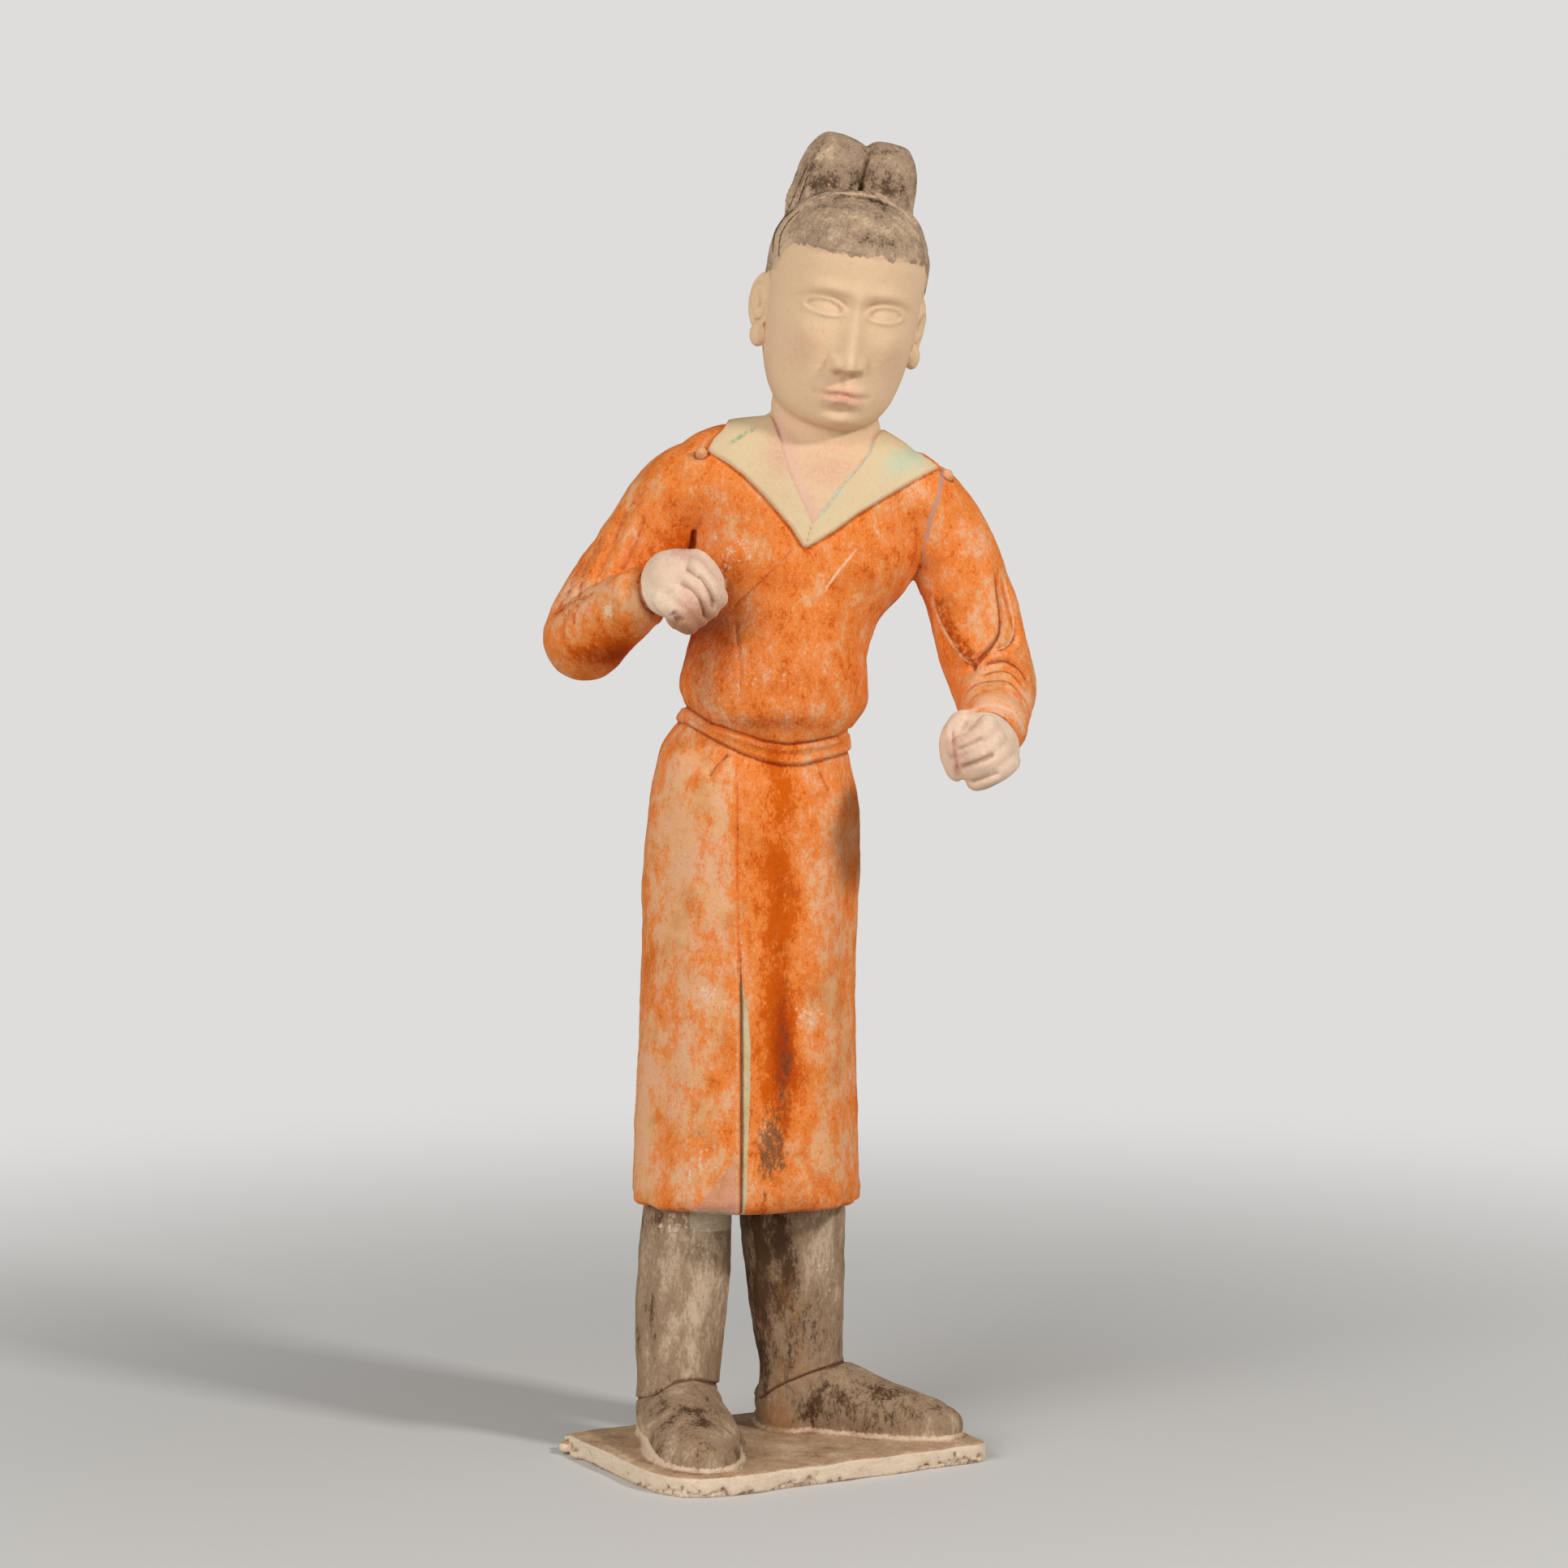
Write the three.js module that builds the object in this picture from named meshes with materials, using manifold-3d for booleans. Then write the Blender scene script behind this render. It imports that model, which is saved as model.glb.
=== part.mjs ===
// A standing camel driver: a moulded and hand-finished tomb figure of painted terracotta, fired in one with
// its base plate. Millimetres, +Z up. The origin is the middle of the plate's underside. The chest turns to
// -Y, and +X is the figure's left.
import * as THREE from "three";
import { ParametricGeometry } from "three/addons/geometries/ParametricGeometry.js";
import { mergeVertices } from "three/addons/utils/BufferGeometryUtils.js";
import Module from "manifold-3d";

const wasm = await Module();
wasm.setup();

// Driving dimensions.
const PLATE_THICK = 10;
const HEAD_HEIGHT = 114; // chin to crown
const EYE_WIDTH = 15; // a fifth of the head's width
const FIST_SCALE = 0.94;
const LAPEL_RAISE = 2;
const BUTTON_RADIUS = 2.6;
const SLIT_DEPTH = 2;
const SASH_HEIGHT = 357.3;
const SASH_RAISE = 1.8;
const WAIST_SAG = 13.5;
const WAIST_LIFT = 3.5;
const WAIST_TILT = 0.15; // millimetres up for each millimetre towards the figure's right

// A closed geometry as a solid with its faces pointing out.
function solidOf(geometry) {
  const bare = geometry.clone();
  bare.deleteAttribute("normal");
  bare.deleteAttribute("uv");
  const merged = mergeVertices(bare, 1e-3);
  const corners = [];
  for (let i = 0; i < merged.index.count; i += 3) {
    const [a, b, c] = [0, 1, 2].map((k) => merged.index.getX(i + k));
    if (a !== b && b !== c && c !== a) corners.push(a, b, c);
  }
  const make = (triVerts) =>
    new wasm.Manifold(
      new wasm.Mesh({
        numProp: 3,
        vertProperties: new Float32Array(merged.attributes.position.array),
        triVerts: new Uint32Array(triVerts),
      }),
    );
  const solid = make(corners);
  if (solid.volume() > 0) return solid;
  return make(corners.reverse());
}

// The row of numbers at share v of the way through a table of rows, on a smooth curve through them all.
function rowAt(rows, v) {
  const s = v * (rows.length - 1);
  const i = Math.min(Math.floor(s), rows.length - 2);
  const t = s - i;
  const before = rows[Math.max(i - 1, 0)];
  const after = rows[Math.min(i + 2, rows.length - 1)];
  return rows[i].map((p, k) => {
    const q = rows[i + 1][k];
    const leave = (q - before[k]) / 2;
    const arrive = (after[k] - p) / 2;
    const bend = 2 * p - 2 * q + leave + arrive;
    const rise = -3 * p + 3 * q - 2 * leave - arrive;
    return ((bend * t + rise) * t + leave) * t + p;
  });
}

// A closed surface: point(angle, v) gives its place, and both ends close on the middle of their section.
function closedSurface(point, middle, around, along) {
  const place = (u, v, target) => {
    const end = v < 1e-6 || v > 1 - 1e-6;
    target.copy(end ? middle(v) : point(u * 2 * Math.PI, v));
  };
  return solidOf(new ParametricGeometry(place, around, along));
}

// cos and sin of an angle, pushed out towards a square by squareness (2 is an ellipse).
function rounded(angle, squareness) {
  const push = (c) => Math.sign(c) * Math.abs(c) ** (2 / squareness);
  return [push(Math.cos(angle)), push(Math.sin(angle))];
}

// How deep a place lies in a set of pressed creases. Each crease goes through points in millimetres on the
// unrolled surface.
function pressed(across, up, creases) {
  return creases.reduce((sum, { through, wide, deep }) => {
    const away = through.slice(1).map((to, i) => {
      const from = new THREE.Vector3(...through[i], 0);
      const piece = new THREE.Line3(from, new THREE.Vector3(...to, 0));
      const here = new THREE.Vector3(across, up, 0);
      const near = piece.closestPointToPoint(here, true, new THREE.Vector3());
      return near.distanceTo(here);
    });
    return sum + deep * Math.exp(-((Math.min(...away) / wide) ** 2));
  }, 0);
}

// Sections piled up. Each row is x, y, z, half width, half depth and squareness. Angle 0 is the front.
// Columns crowd towards the front, where the detail is, by the share `crowd`. A section hangs below its level
// by `sag`.
function piled(rows, around, crowd, relief, sag) {
  const point = (turn, v) => {
    const angle = turn - crowd * Math.sin(turn);
    const [x, y, z, wide, deep, square] = rowAt(rows, v);
    const [front, side] = rounded(angle, square);
    const out = relief(angle > Math.PI ? angle - 2 * Math.PI : angle, z);
    return new THREE.Vector3(
      x + side * (wide + out),
      y - front * (deep + out),
      z - sag(front, z, side * wide),
    );
  };
  const middle = (v) => new THREE.Vector3(...rowAt(rows, v).slice(0, 3));
  return closedSurface(point, middle, around, rows.length - 1);
}

// Sections square to a path. Each row is x, y, z, half width along `side`, and half height across it.
function limb(rows, around, { side = [1, 0, 0], finer = 1, relief } = {}) {
  const step = 0.01;
  const centre = (v) => new THREE.Vector3(...rowAt(rows, v).slice(0, 3));
  const point = (angle, v) => {
    const row = rowAt(rows, v);
    const ahead = centre(Math.min(v + step, 1));
    const forward = ahead.sub(centre(Math.max(v - step, 0))).normalize();
    const across = new THREE.Vector3(...side)
      .projectOnPlane(forward)
      .normalize();
    const up = new THREE.Vector3().crossVectors(forward, across);
    const out = relief ? relief(angle, v) : 0;
    return centre(v)
      .addScaledVector(across, Math.cos(angle) * (row[3] + out))
      .addScaledVector(up, Math.sin(angle) * (row[4] + out));
  };
  const along = Math.round((rows.length - 1) * finer);
  return closedSurface(point, centre, around, along);
}

// A ball with three half sizes along three directions.
function ball(centre, half, axes, around, along) {
  const sphere = new THREE.SphereGeometry(1, around, along);
  const basis = new THREE.Matrix4().makeBasis(
    ...axes.map((a, k) =>
      new THREE.Vector3(...a).normalize().multiplyScalar(half[k]),
    ),
  );
  sphere.applyMatrix4(basis);
  sphere.translate(...centre);
  return solidOf(sphere);
}
const UPRIGHT = [
  [1, 0, 0],
  [0, 1, 0],
  [0, 0, 1],
];

function joined(solids) {
  return solids.reduce((all, one) => all.add(one));
}

// Base plate: a slab cut by hand, a little out of square, with its front corner worn round.
const PLATE_BEVEL = 1.2;
function basePlate() {
  const corners = [
    { at: [-108, 14], round: 9 },
    { at: [-48, -94], round: 36 },
    { at: [106, -8], round: 10 },
    { at: [52, 89], round: 14 },
  ].map(({ at, round }) => ({ at: new THREE.Vector2(...at), round }));
  const outline = new THREE.Shape();
  corners.forEach(({ at, round }, i) => {
    const before = corners[(i + 3) % 4].at;
    const after = corners[(i + 1) % 4].at;
    const enter = at.clone().add(before.clone().sub(at).setLength(round));
    const leave = at.clone().add(after.clone().sub(at).setLength(round));
    if (i === 0) outline.moveTo(enter.x, enter.y);
    else outline.lineTo(enter.x, enter.y);
    outline.quadraticCurveTo(at.x, at.y, leave.x, leave.y);
  });
  outline.closePath();
  const slab = new THREE.ExtrudeGeometry(outline, {
    depth: PLATE_THICK - 2 * PLATE_BEVEL,
    bevelThickness: PLATE_BEVEL,
    bevelSize: PLATE_BEVEL,
    bevelOffset: -PLATE_BEVEL,
    bevelSegments: 1,
    curveSegments: 4,
  });
  slab.translate(0, 0, PLATE_BEVEL);
  return solidOf(slab);
}

// Boots: a straight shaft and a foot with a pointed toe, luted to the plate. The left foot turns out.
const BOOTS = {
  right: {
    shaft: [
      [-50, 8, 8, 21, 24],
      [-50, 7, 24, 20, 22],
      [-50, 8, 38, 20, 21],
      [-49, 9, 60, 22, 22],
      [-47, 10, 92, 23, 23],
      [-45, 10, 122, 22, 22],
      [-44, 10, 134, 20, 20],
    ],
    foot: [
      [-56, 37, 15, 4, 4],
      [-55.8, 36, 15.5, 9, 8],
      [-54, 30, 17, 16, 13.5],
      [-51, 14, 21, 20, 18.5],
      [-49, 2, 23, 21.5, 20.5],
      [-46, -16, 21, 22.5, 19],
      [-42, -34, 17.5, 23.5, 17],
      [-38, -51, 14.5, 21, 14],
      [-35, -64, 13.5, 15.5, 11.5],
      [-33.5, -71.5, 14.5, 9, 7.5],
      [-33, -75, 15.5, 4, 3.5],
    ],
  },
  left: {
    shaft: [
      [8, 30, 8, 20, 22],
      [10, 30, 24, 20, 21],
      [11, 30, 42, 20.5, 20.5],
      [10, 29, 60, 22.5, 21],
      [8, 26, 92, 25, 22],
      [7, 23, 122, 26, 22],
      [7, 22, 134, 24, 21],
    ],
    foot: [
      [-8, 41.5, 16, 4, 4],
      [-7.2, 41, 16, 8, 7.5],
      [-3, 39, 18, 14.5, 13.5],
      [8, 34, 22, 19.5, 19],
      [20, 29, 24, 20.5, 21],
      [35, 22.5, 21.5, 20.5, 19.5],
      [51, 15.5, 18.5, 20, 16.5],
      [67, 9, 16.3, 17.3, 14.3],
      [80, 4, 15.6, 12.8, 11.4],
      [87, 2, 16.5, 8.5, 8],
      [90.8, 0.8, 17.5, 4, 4],
    ],
  },
};
function boots() {
  return Object.values(BOOTS).flatMap(({ shaft, foot }) => {
    const heel = foot[0];
    const toe = foot[foot.length - 1];
    const across = [toe[1] - heel[1], heel[0] - toe[0], 0];
    return [limb(shaft, 12), limb(foot, 12, { side: across })];
  });
}

// The long coat, from its hem up to the neck: a nearly straight skirt, hips, a tucked waist, belly, chest and
// shoulders.
const COAT = [
  [-16, 9, 126.5, 46, 39, 2.3],
  [-16, 9, 128, 54, 45.5, 2.3],
  [-16, 9, 132.5, 56.3, 47.8, 2.3],
  [-16, 9, 152, 55.6, 47, 2.25],
  [-15.7, 8.7, 175, 54.8, 46.5, 2.2],
  [-15.4, 8.4, 205, 53.8, 45.8, 2.2],
  [-15, 8, 235, 53, 45.3, 2.2],
  [-14.2, 7.5, 265, 53.2, 44.8, 2.2],
  [-13.3, 7, 292, 53.5, 44, 2.2],
  [-12.4, 6, 315, 52.5, 42.5, 2.2],
  [-12, 5.5, 330, 50.5, 41, 2.2],
  [-11, 5, 343, 47, 39, 2.2],
  [-9.2, 5, 350, 44, 37.8, 2.15],
  [-7.8, 5, 354, 42, 36.8, 2.15],
  [-7, 4.5, 357.5, 41, 36, 2.15],
  [-6, 4, 361.5, 39.8, 35.3, 2.1],
  [-4, 2, 367.5, 42.5, 37.5, 2.1],
  [-2.7, 0.5, 375, 45.8, 40.5, 2.1],
  [-2.2, 0, 386, 46, 41, 2.1],
  [-0.5, 1, 399, 44.5, 39.5, 2.1],
  [4, 2.5, 414, 45.5, 37.5, 2.15],
  [10.5, 3, 429, 51.5, 36, 2.2],
  [15, 3, 444, 56, 35.5, 2.25],
  [15, 3.5, 460, 57.5, 34.5, 2.25],
  [13.5, 4, 475, 59.5, 33, 2.3],
  [11.5, 5, 487, 60, 30, 2.3],
  [7.5, 6, 497, 57, 26, 2.2],
  [5.5, 7, 505, 47, 21.5, 2.1],
  [8, 8, 510, 36, 17, 2],
  [17, 8, 512.5, 24, 12, 2],
  [21, 8, 513.5, 10, 6, 2],
];
const COAT_RADIUS = 50;
// The slit down the front, the valley that hangs between the thighs beside it, and a shallower valley by each
// hip.
const COAT_CREASES = [
  { through: [[-2.5, 100], [-3, 330]], wide: 2.2, deep: SLIT_DEPTH },
  { through: [[15, 100], [17, 300]], wide: 9, deep: 2.6 },
  { through: [[-38, 100], [-36, 280]], wide: 10, deep: 1.2 },
  { through: [[56, 100], [56, 300]], wide: 10, deep: 1.4 },
];
// The sash under the belly, which thins towards the figure's right side.
function sashRaise(angle, z) {
  const half = 3.2 + 0.8 * Math.sin(angle);
  const away = Math.abs(z - SASH_HEIGHT);
  return SASH_RAISE * (1 - THREE.MathUtils.smoothstep(away, half - 0.6, half + 0.8));
}
// The waist hangs lowest at the front, under the belly, and is higher on the figure's right.
function waistSag(front, z, across) {
  const drop = WAIST_SAG * Math.max(front, 0) ** 1.5 - WAIST_LIFT + WAIST_TILT * across;
  return drop * Math.exp(-(((z - SASH_HEIGHT) / 24) ** 2));
}
function coatRelief(angle, z) {
  return sashRaise(angle, z) - pressed(angle * COAT_RADIUS, z, COAT_CREASES);
}
function coat(grow = 0) {
  const rows = COAT.map(([x, y, z, wide, deep, square]) => [
    x,
    y,
    z,
    wide + grow,
    deep + grow,
    square,
  ]);
  return piled(rows, 32, 0.45, coatRelief, waistSag);
}

// Sleeves: the right arm bends in front of the chest, the left hangs and bends towards the front.
// Their creases are given as degrees round the arm, where 180 is the front, and row along it.
const SLEEVES = {
  right: {
    rows: [
      [-2, 6, 478, 12, 10],
      [-14, 6, 480, 27, 22],
      [-28, 6, 481, 28, 22.5],
      [-41, 6.5, 478, 26.5, 23.5],
      [-52, 7, 468.5, 24.5, 24],
      [-61, 7.5, 456, 22.5, 23],
      [-72, 8, 442, 22, 22],
      [-83, 8, 427, 21.5, 21.5],
      [-92, 6, 411, 21, 21],
      [-95, 0, 404.5, 20, 20],
      [-91, -10, 407, 19.5, 19.5],
      [-80, -24, 416, 18, 18],
      [-70, -36, 423, 15.5, 15.5],
      [-65, -42, 427, 14, 14],
      [-62, -45, 428.5, 9, 9],
    ],
    creases: [
      { through: [[229, 4.2], [222, 7.2]], wide: 2.6, deep: 1.8 },
      { through: [[204, 4.8], [200, 7]], wide: 2.6, deep: 1.5 },
      { through: [[252, 5.4], [248, 7.8]], wide: 2.6, deep: 1.5 },
      { through: [[165, 8.5], [250, 8.6]], wide: 2.4, deep: 1.6 },
    ],
  },
  left: {
    rows: [
      [28, 6, 470, 12, 10],
      [40, 6, 472, 26, 21],
      [52, 6, 474, 26.5, 22],
      [63, 6.5, 473, 25, 22.5],
      [74, 7, 465, 23.5, 22.5],
      [82, 7, 453, 21.5, 22],
      [89, 7, 438, 20.5, 22],
      [94, 8, 424, 21.5, 22],
      [99, 8, 405, 21.3, 22],
      [103, 6, 391, 20.5, 21.5],
      [105.5, -2, 380, 19.5, 20.5],
      [105.5, -14, 373.5, 18, 18.5],
      [104.5, -28, 367, 16.5, 16.5],
      [103.5, -38, 362, 15.5, 15.5],
      [103, -43, 359.5, 9, 9],
    ],
    creases: [
      { through: [[136, 6], [146, 8], [165, 9], [195, 9.6]], wide: 2.4, deep: 1.8 },
      { through: [[106, 6], [122, 8.4], [145, 9.2], [180, 9.6]], wide: 2.4, deep: 1.6 },
      { through: [[235, 6.8], [228, 8.2], [200, 9.6]], wide: 3, deep: 1.8 },
      { through: [[90, 10.4], [270, 10.4]], wide: 2.4, deep: 1.4 },
    ],
  },
};
const SLEEVE_RADIUS = 21;
const SLEEVE_ROW = 15; // millimetres from row to row
function sleeves(grow = 0) {
  return Object.values(SLEEVES).map(({ rows, creases }) => {
    const placed = creases.map(({ through, wide, deep }) => ({
      through: through.map(([turn, row]) => [
        THREE.MathUtils.degToRad(turn) * SLEEVE_RADIUS,
        row * SLEEVE_ROW,
      ]),
      wide,
      deep,
    }));
    const relief = (angle, v) =>
      grow -
      pressed(angle * SLEEVE_RADIUS, v * (rows.length - 1) * SLEEVE_ROW, placed);
    return limb(rows, 18, { side: [0, 1, 0], finer: 1.5, relief });
  });
}

// A closed fist. Lengths are towards the knuckles, up towards the back of the hand, and across towards the
// thumb.
const FINGER = [
  [-4, 5, 3],
  [4, 8, 5.4],
  [14, 7, 6],
  [19, -1, 6],
  [15, -10, 5.8],
  [5, -14, 5.2],
  [-2, -13, 2.5],
];
const THUMB = [
  [-14, -2, 12, 3],
  [-6, -5, 15, 6.5],
  [5, -11, 13, 6.5],
  [10, -16, 6, 5.4],
  [11, -17.5, -2, 4.6],
  [11, -17, -6, 2],
];
const KNUCKLES = [-12.6, -4.4, 4, 12];
const FISTS = {
  right: {
    at: [-47, -53, 431],
    ahead: [0.62, -0.5, -0.6],
    up: [-0.3, -0.85, 0.4],
    thumbSide: 1,
  },
  left: {
    at: [99.5, -52, 355],
    ahead: [-0.2, -0.93, -0.3],
    up: [0.84, -0.2, 0.5],
    thumbSide: -1,
  },
};
function fist({ at, ahead, up, thumbSide }) {
  const along = new THREE.Vector3(...ahead).normalize();
  const rise = new THREE.Vector3(...up).projectOnPlane(along).normalize();
  const across = new THREE.Vector3()
    .crossVectors(rise, along)
    .multiplyScalar(thumbSide);
  const place = (a, b, c) =>
    new THREE.Vector3(...at)
      .addScaledVector(along, a * FIST_SCALE)
      .addScaledVector(rise, b * FIST_SCALE)
      .addScaledVector(across, c * FIST_SCALE)
      .toArray();
  const axes = [along, rise, across].map((a) => a.toArray());
  const palm = ball(place(-3, 0, -0.5), [17, 13.5, 17], axes, 10, 8);
  const core = ball(place(7, -3, -0.5), [12, 11, 14.5], axes, 8, 6);
  const fingers = KNUCKLES.map((shift, i) => {
    const curl = 1 - 0.05 * Math.abs(i - 1.7);
    const rows = FINGER.map(([a, b, r]) => [
      ...place(a * curl, b * curl, shift * (1 - 0.012 * Math.max(a, 0))),
      r * 0.84,
      r * 0.9,
    ]);
    return limb(rows, 6, { side: across.toArray() });
  });
  const thumbRows = THUMB.map(([a, b, c, r]) => [...place(a, b, c), r, r]);
  const thumb = limb(thumbRows, 6, { side: rise.toArray() });
  return joined([palm, core, ...fingers, thumb]);
}

// The head leans and turns a little to the figure's left, and looks slightly down.
const HEAD = { at: [31, -3, 567], lean: 8, turn: 10, bow: 8 };
const headFrame = new THREE.Matrix4()
  .makeTranslation(...HEAD.at)
  .multiply(
    new THREE.Matrix4().makeRotationY(THREE.MathUtils.degToRad(HEAD.lean)),
  )
  .multiply(
    new THREE.Matrix4().makeRotationZ(THREE.MathUtils.degToRad(HEAD.turn)),
  )
  .multiply(
    new THREE.Matrix4().makeRotationX(THREE.MathUtils.degToRad(HEAD.bow)),
  );
// Level sections from the chin to the crown, in the head's own frame.
const SKULL = [
  [0, -10, -57, 9, 12, 2],
  [0, -9, -56, 17, 21, 2],
  [0, -7, -51, 24, 28, 2.1],
  [0, -4, -42, 30, 33, 2.2],
  [0, -1, -30, 34, 37.5, 2.25],
  [0, 0, -16, 36, 40, 2.25],
  [0, 1, 0, 37, 42, 2.2],
  [0, 2, 15, 37.5, 44, 2.2],
  [0, 2, 28, 36.5, 44, 2.15],
  [0, 2, 40, 31, 38.5, 2.1],
  [0, 2, 50, 21, 27, 2],
  [0, 2, 54, 12, 16, 2],
  [0, 2, 55.5, 5, 7, 2],
];

const bump = (x, wide) => Math.exp(-((x / wide) ** 2));
// How far the calm, regular face stands forward at a place in the head's own frame.
function faceRelief(x, z) {
  const side = Math.abs(x);
  const eyeAt = EYE_WIDTH;
  const noseTop = 6;
  const noseBase = -HEAD_HEIGHT / 4;
  const down = THREE.MathUtils.clamp((noseTop - z) / (noseTop - noseBase), 0, 1);
  const bridge =
    (1.5 + 8.5 * down ** 1.4) *
    bump(x, 3.6 + 2.6 * down) *
    THREE.MathUtils.smoothstep(z, noseBase - 1.5, noseBase + 1.5) *
    (1 - THREE.MathUtils.smoothstep(z, noseTop - 2, noseTop + 8));
  const wings = 3.6 * bump(side - 6.4, 2.6) * bump(z - noseBase - 3, 3.2);
  const sockets = -3.4 * bump(side - eyeAt, 9) * bump(z - 0.5, 5.5);
  const eyes = 2.6 * bump(side - eyeAt, 6) * bump(z + 0.5, 3.3);
  const brows = 1.8 * bump(side - eyeAt + 1, 10) * bump(z - 9, 3.4);
  const lips =
    2.4 * bump(x, 9) * bump(z + 37, 2.4) + 2.6 * bump(x, 8) * bump(z + 42, 2.6);
  const parting = -1.8 * bump(x, 10) * bump(z + 39.6, 1.1);
  const hollow = -1.2 * bump(x, 9) * bump(z + 47, 2.5);
  const chin = 2.2 * bump(x, 10) * bump(z + 53, 4.5);
  const cheeks = 1.2 * bump(side - 20, 9) * bump(z + 18, 11);
  const parts = [
    bridge,
    wings,
    sockets,
    eyes,
    brows,
    lips,
    parting,
    hollow,
    chin,
    cheeks,
  ];
  return parts.reduce((sum, part) => sum + part);
}
// The height where the hair starts: above the forehead in front, and down on the nape behind the ears.
function hairline(angle) {
  const front = Math.cos(angle);
  return THREE.MathUtils.lerp(-26, 27, THREE.MathUtils.smoothstep(front, -0.35, 0.6));
}
function head() {
  const crowd = 0.6;
  const point = (turn, v) => {
    const angle = turn - crowd * Math.sin(turn);
    const [x, y, z, wide, deep, square] = rowAt(SKULL, v);
    const [front, side] = rounded(angle, square);
    const hair =
      1.8 * THREE.MathUtils.smoothstep(z - hairline(angle), -0.5, 2.5);
    const face = front > 0.35 ? faceRelief(side * wide, z) : 0;
    return new THREE.Vector3(
      x + side * (wide + hair),
      y - front * (deep + hair) - face,
      z + (z > 30 ? hair * 0.6 : 0),
    );
  };
  const middle = (v) => new THREE.Vector3(...rowAt(SKULL, v).slice(0, 3));
  return closedSurface(point, middle, 33, 26);
}

// An ear: a flat shell with a scooped hollow and a full lobe.
function ear(hand) {
  const shell = ball([hand * 38.5, 4, -4], [4.5, 8, 14], UPRIGHT, 8, 7);
  const lobe = ball([hand * 38, 1, -19], [4, 5, 6.5], UPRIGHT, 7, 5);
  const scoop = ball([hand * 43.5, 1, -3], [4, 4.5, 9], UPRIGHT, 7, 5);
  return shell.subtract(scoop).add(lobe);
}

// The topknot: combed hair gathered behind the crown into two upright lobes, with grooves left by the comb.
const LOBES = [
  { x: -13, wide: 16.3, lean: 0.2 },
  { x: 16, wide: 15, lean: 0 },
];
const LOBE_MIDDLE = 52;
const COMB_DEPTH = 0.6;
const COMB_GROOVES = 10;
const LOBE = [
  [22, 26, 0.6, 14],
  [23, 40, 1, 19],
  [24, LOBE_MIDDLE, 1, 17],
  [24, 63, 0.98, 15.3],
  [23, 72, 0.86, 12.8],
  [22, 77.5, 0.6, 8.3],
  [21.5, 79.5, 0.18, 3.2],
];
function lobes() {
  return LOBES.map(({ x, wide, lean }) => {
    const rows = LOBE.map(([y, z, share, deep]) => [
      x * (1 - 0.2 * THREE.MathUtils.smoothstep(z, 60, 80)) + lean * (z - LOBE_MIDDLE),
      y,
      z,
      wide * share,
      deep,
    ]);
    const relief = (angle) => COMB_DEPTH * Math.cos(COMB_GROOVES * angle);
    return limb(rows, 20, { relief });
  });
}
// The rim of the front hair, over the front of the crown from one ear to the other.
const RIM_RADIUS = 2;
const RIM_SPAN = 150; // degrees
const RIM_POINTS = 9;
function hairRim() {
  const arc = Array.from({ length: RIM_POINTS }, (_, i) => {
    const share = i / (RIM_POINTS - 1);
    const angle = THREE.MathUtils.degToRad(RIM_SPAN * (share - 0.5));
    return new THREE.Vector3(
      36.4 * Math.sin(angle),
      3 - 21 * Math.cos(angle) ** 1.5,
      14 + 39 * Math.cos(angle) ** 0.9,
    );
  });
  const path = new THREE.CatmullRomCurve3(arc);
  const rope = new THREE.Shape();
  rope.absellipse(0, 0, RIM_RADIUS, RIM_RADIUS, 0, 2 * Math.PI);
  return solidOf(
    new THREE.ExtrudeGeometry(rope, {
      extrudePath: path,
      steps: 12,
      curveSegments: 2,
    }),
  );
}
function wholeHead() {
  const pieces = [head(), ear(-1), ear(1), ...lobes(), hairRim()];
  return joined(pieces).transform(headFrame.elements);
}

const NECK = [
  [21, 6, 490, 20, 20],
  [22, 6, 500, 27, 24],
  [22.5, 5.5, 512, 26.7, 24],
  [23, 5, 520, 26, 24],
  [27, 4, 540, 25, 25],
];

// Lapels: wide turned-back panels, seen from the front, cut from a slightly larger coat so that they stand
// proud.
const LAPELS = {
  right: [
    [13, 449],
    [4, 463],
    [-7, 478],
    [-17, 486],
    [-31, 494],
    [-38, 499],
    [-30, 508],
    [-18, 514],
    [-2, 516],
    [3, 500],
    [6, 486],
    [10, 472],
    [16, 460],
  ],
  left: [
    [13, 449],
    [16, 460],
    [24, 469],
    [36, 481],
    [44, 494],
    [47, 516],
    [62, 505],
    [72, 497],
    [79, 487],
    [55, 477],
    [36, 467],
    [24, 458],
  ],
};
const LAPEL_FRONT = -50;
const LAPEL_BACK = 20; // the panels end behind the tops of the shoulders
function lapels() {
  const proud = joined([coat(LAPEL_RAISE), ...sleeves(LAPEL_RAISE)]);
  return Object.values(LAPELS).map((points) => {
    const outline = new THREE.Shape(
      points.map(([x, z]) => new THREE.Vector2(x, z)),
    );
    const depth = LAPEL_BACK - LAPEL_FRONT;
    const block = new THREE.ExtrudeGeometry(outline, { depth, bevelEnabled: false });
    block.rotateX(Math.PI / 2);
    block.translate(0, LAPEL_BACK, 0);
    return proud.intersect(solidOf(block));
  });
}
function buttons() {
  return [
    [-36, -13.5, 497],
    [81, -1, 485],
  ].map((at) => ball(at, Array(3).fill(BUTTON_RADIUS), UPRIGHT, 6, 4));
}

const TERRACOTTA = new THREE.MeshStandardMaterial({
  color: new THREE.Color(0.8, 0.4, 0.18),
  roughness: 0.9,
  metalness: 0,
});

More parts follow.
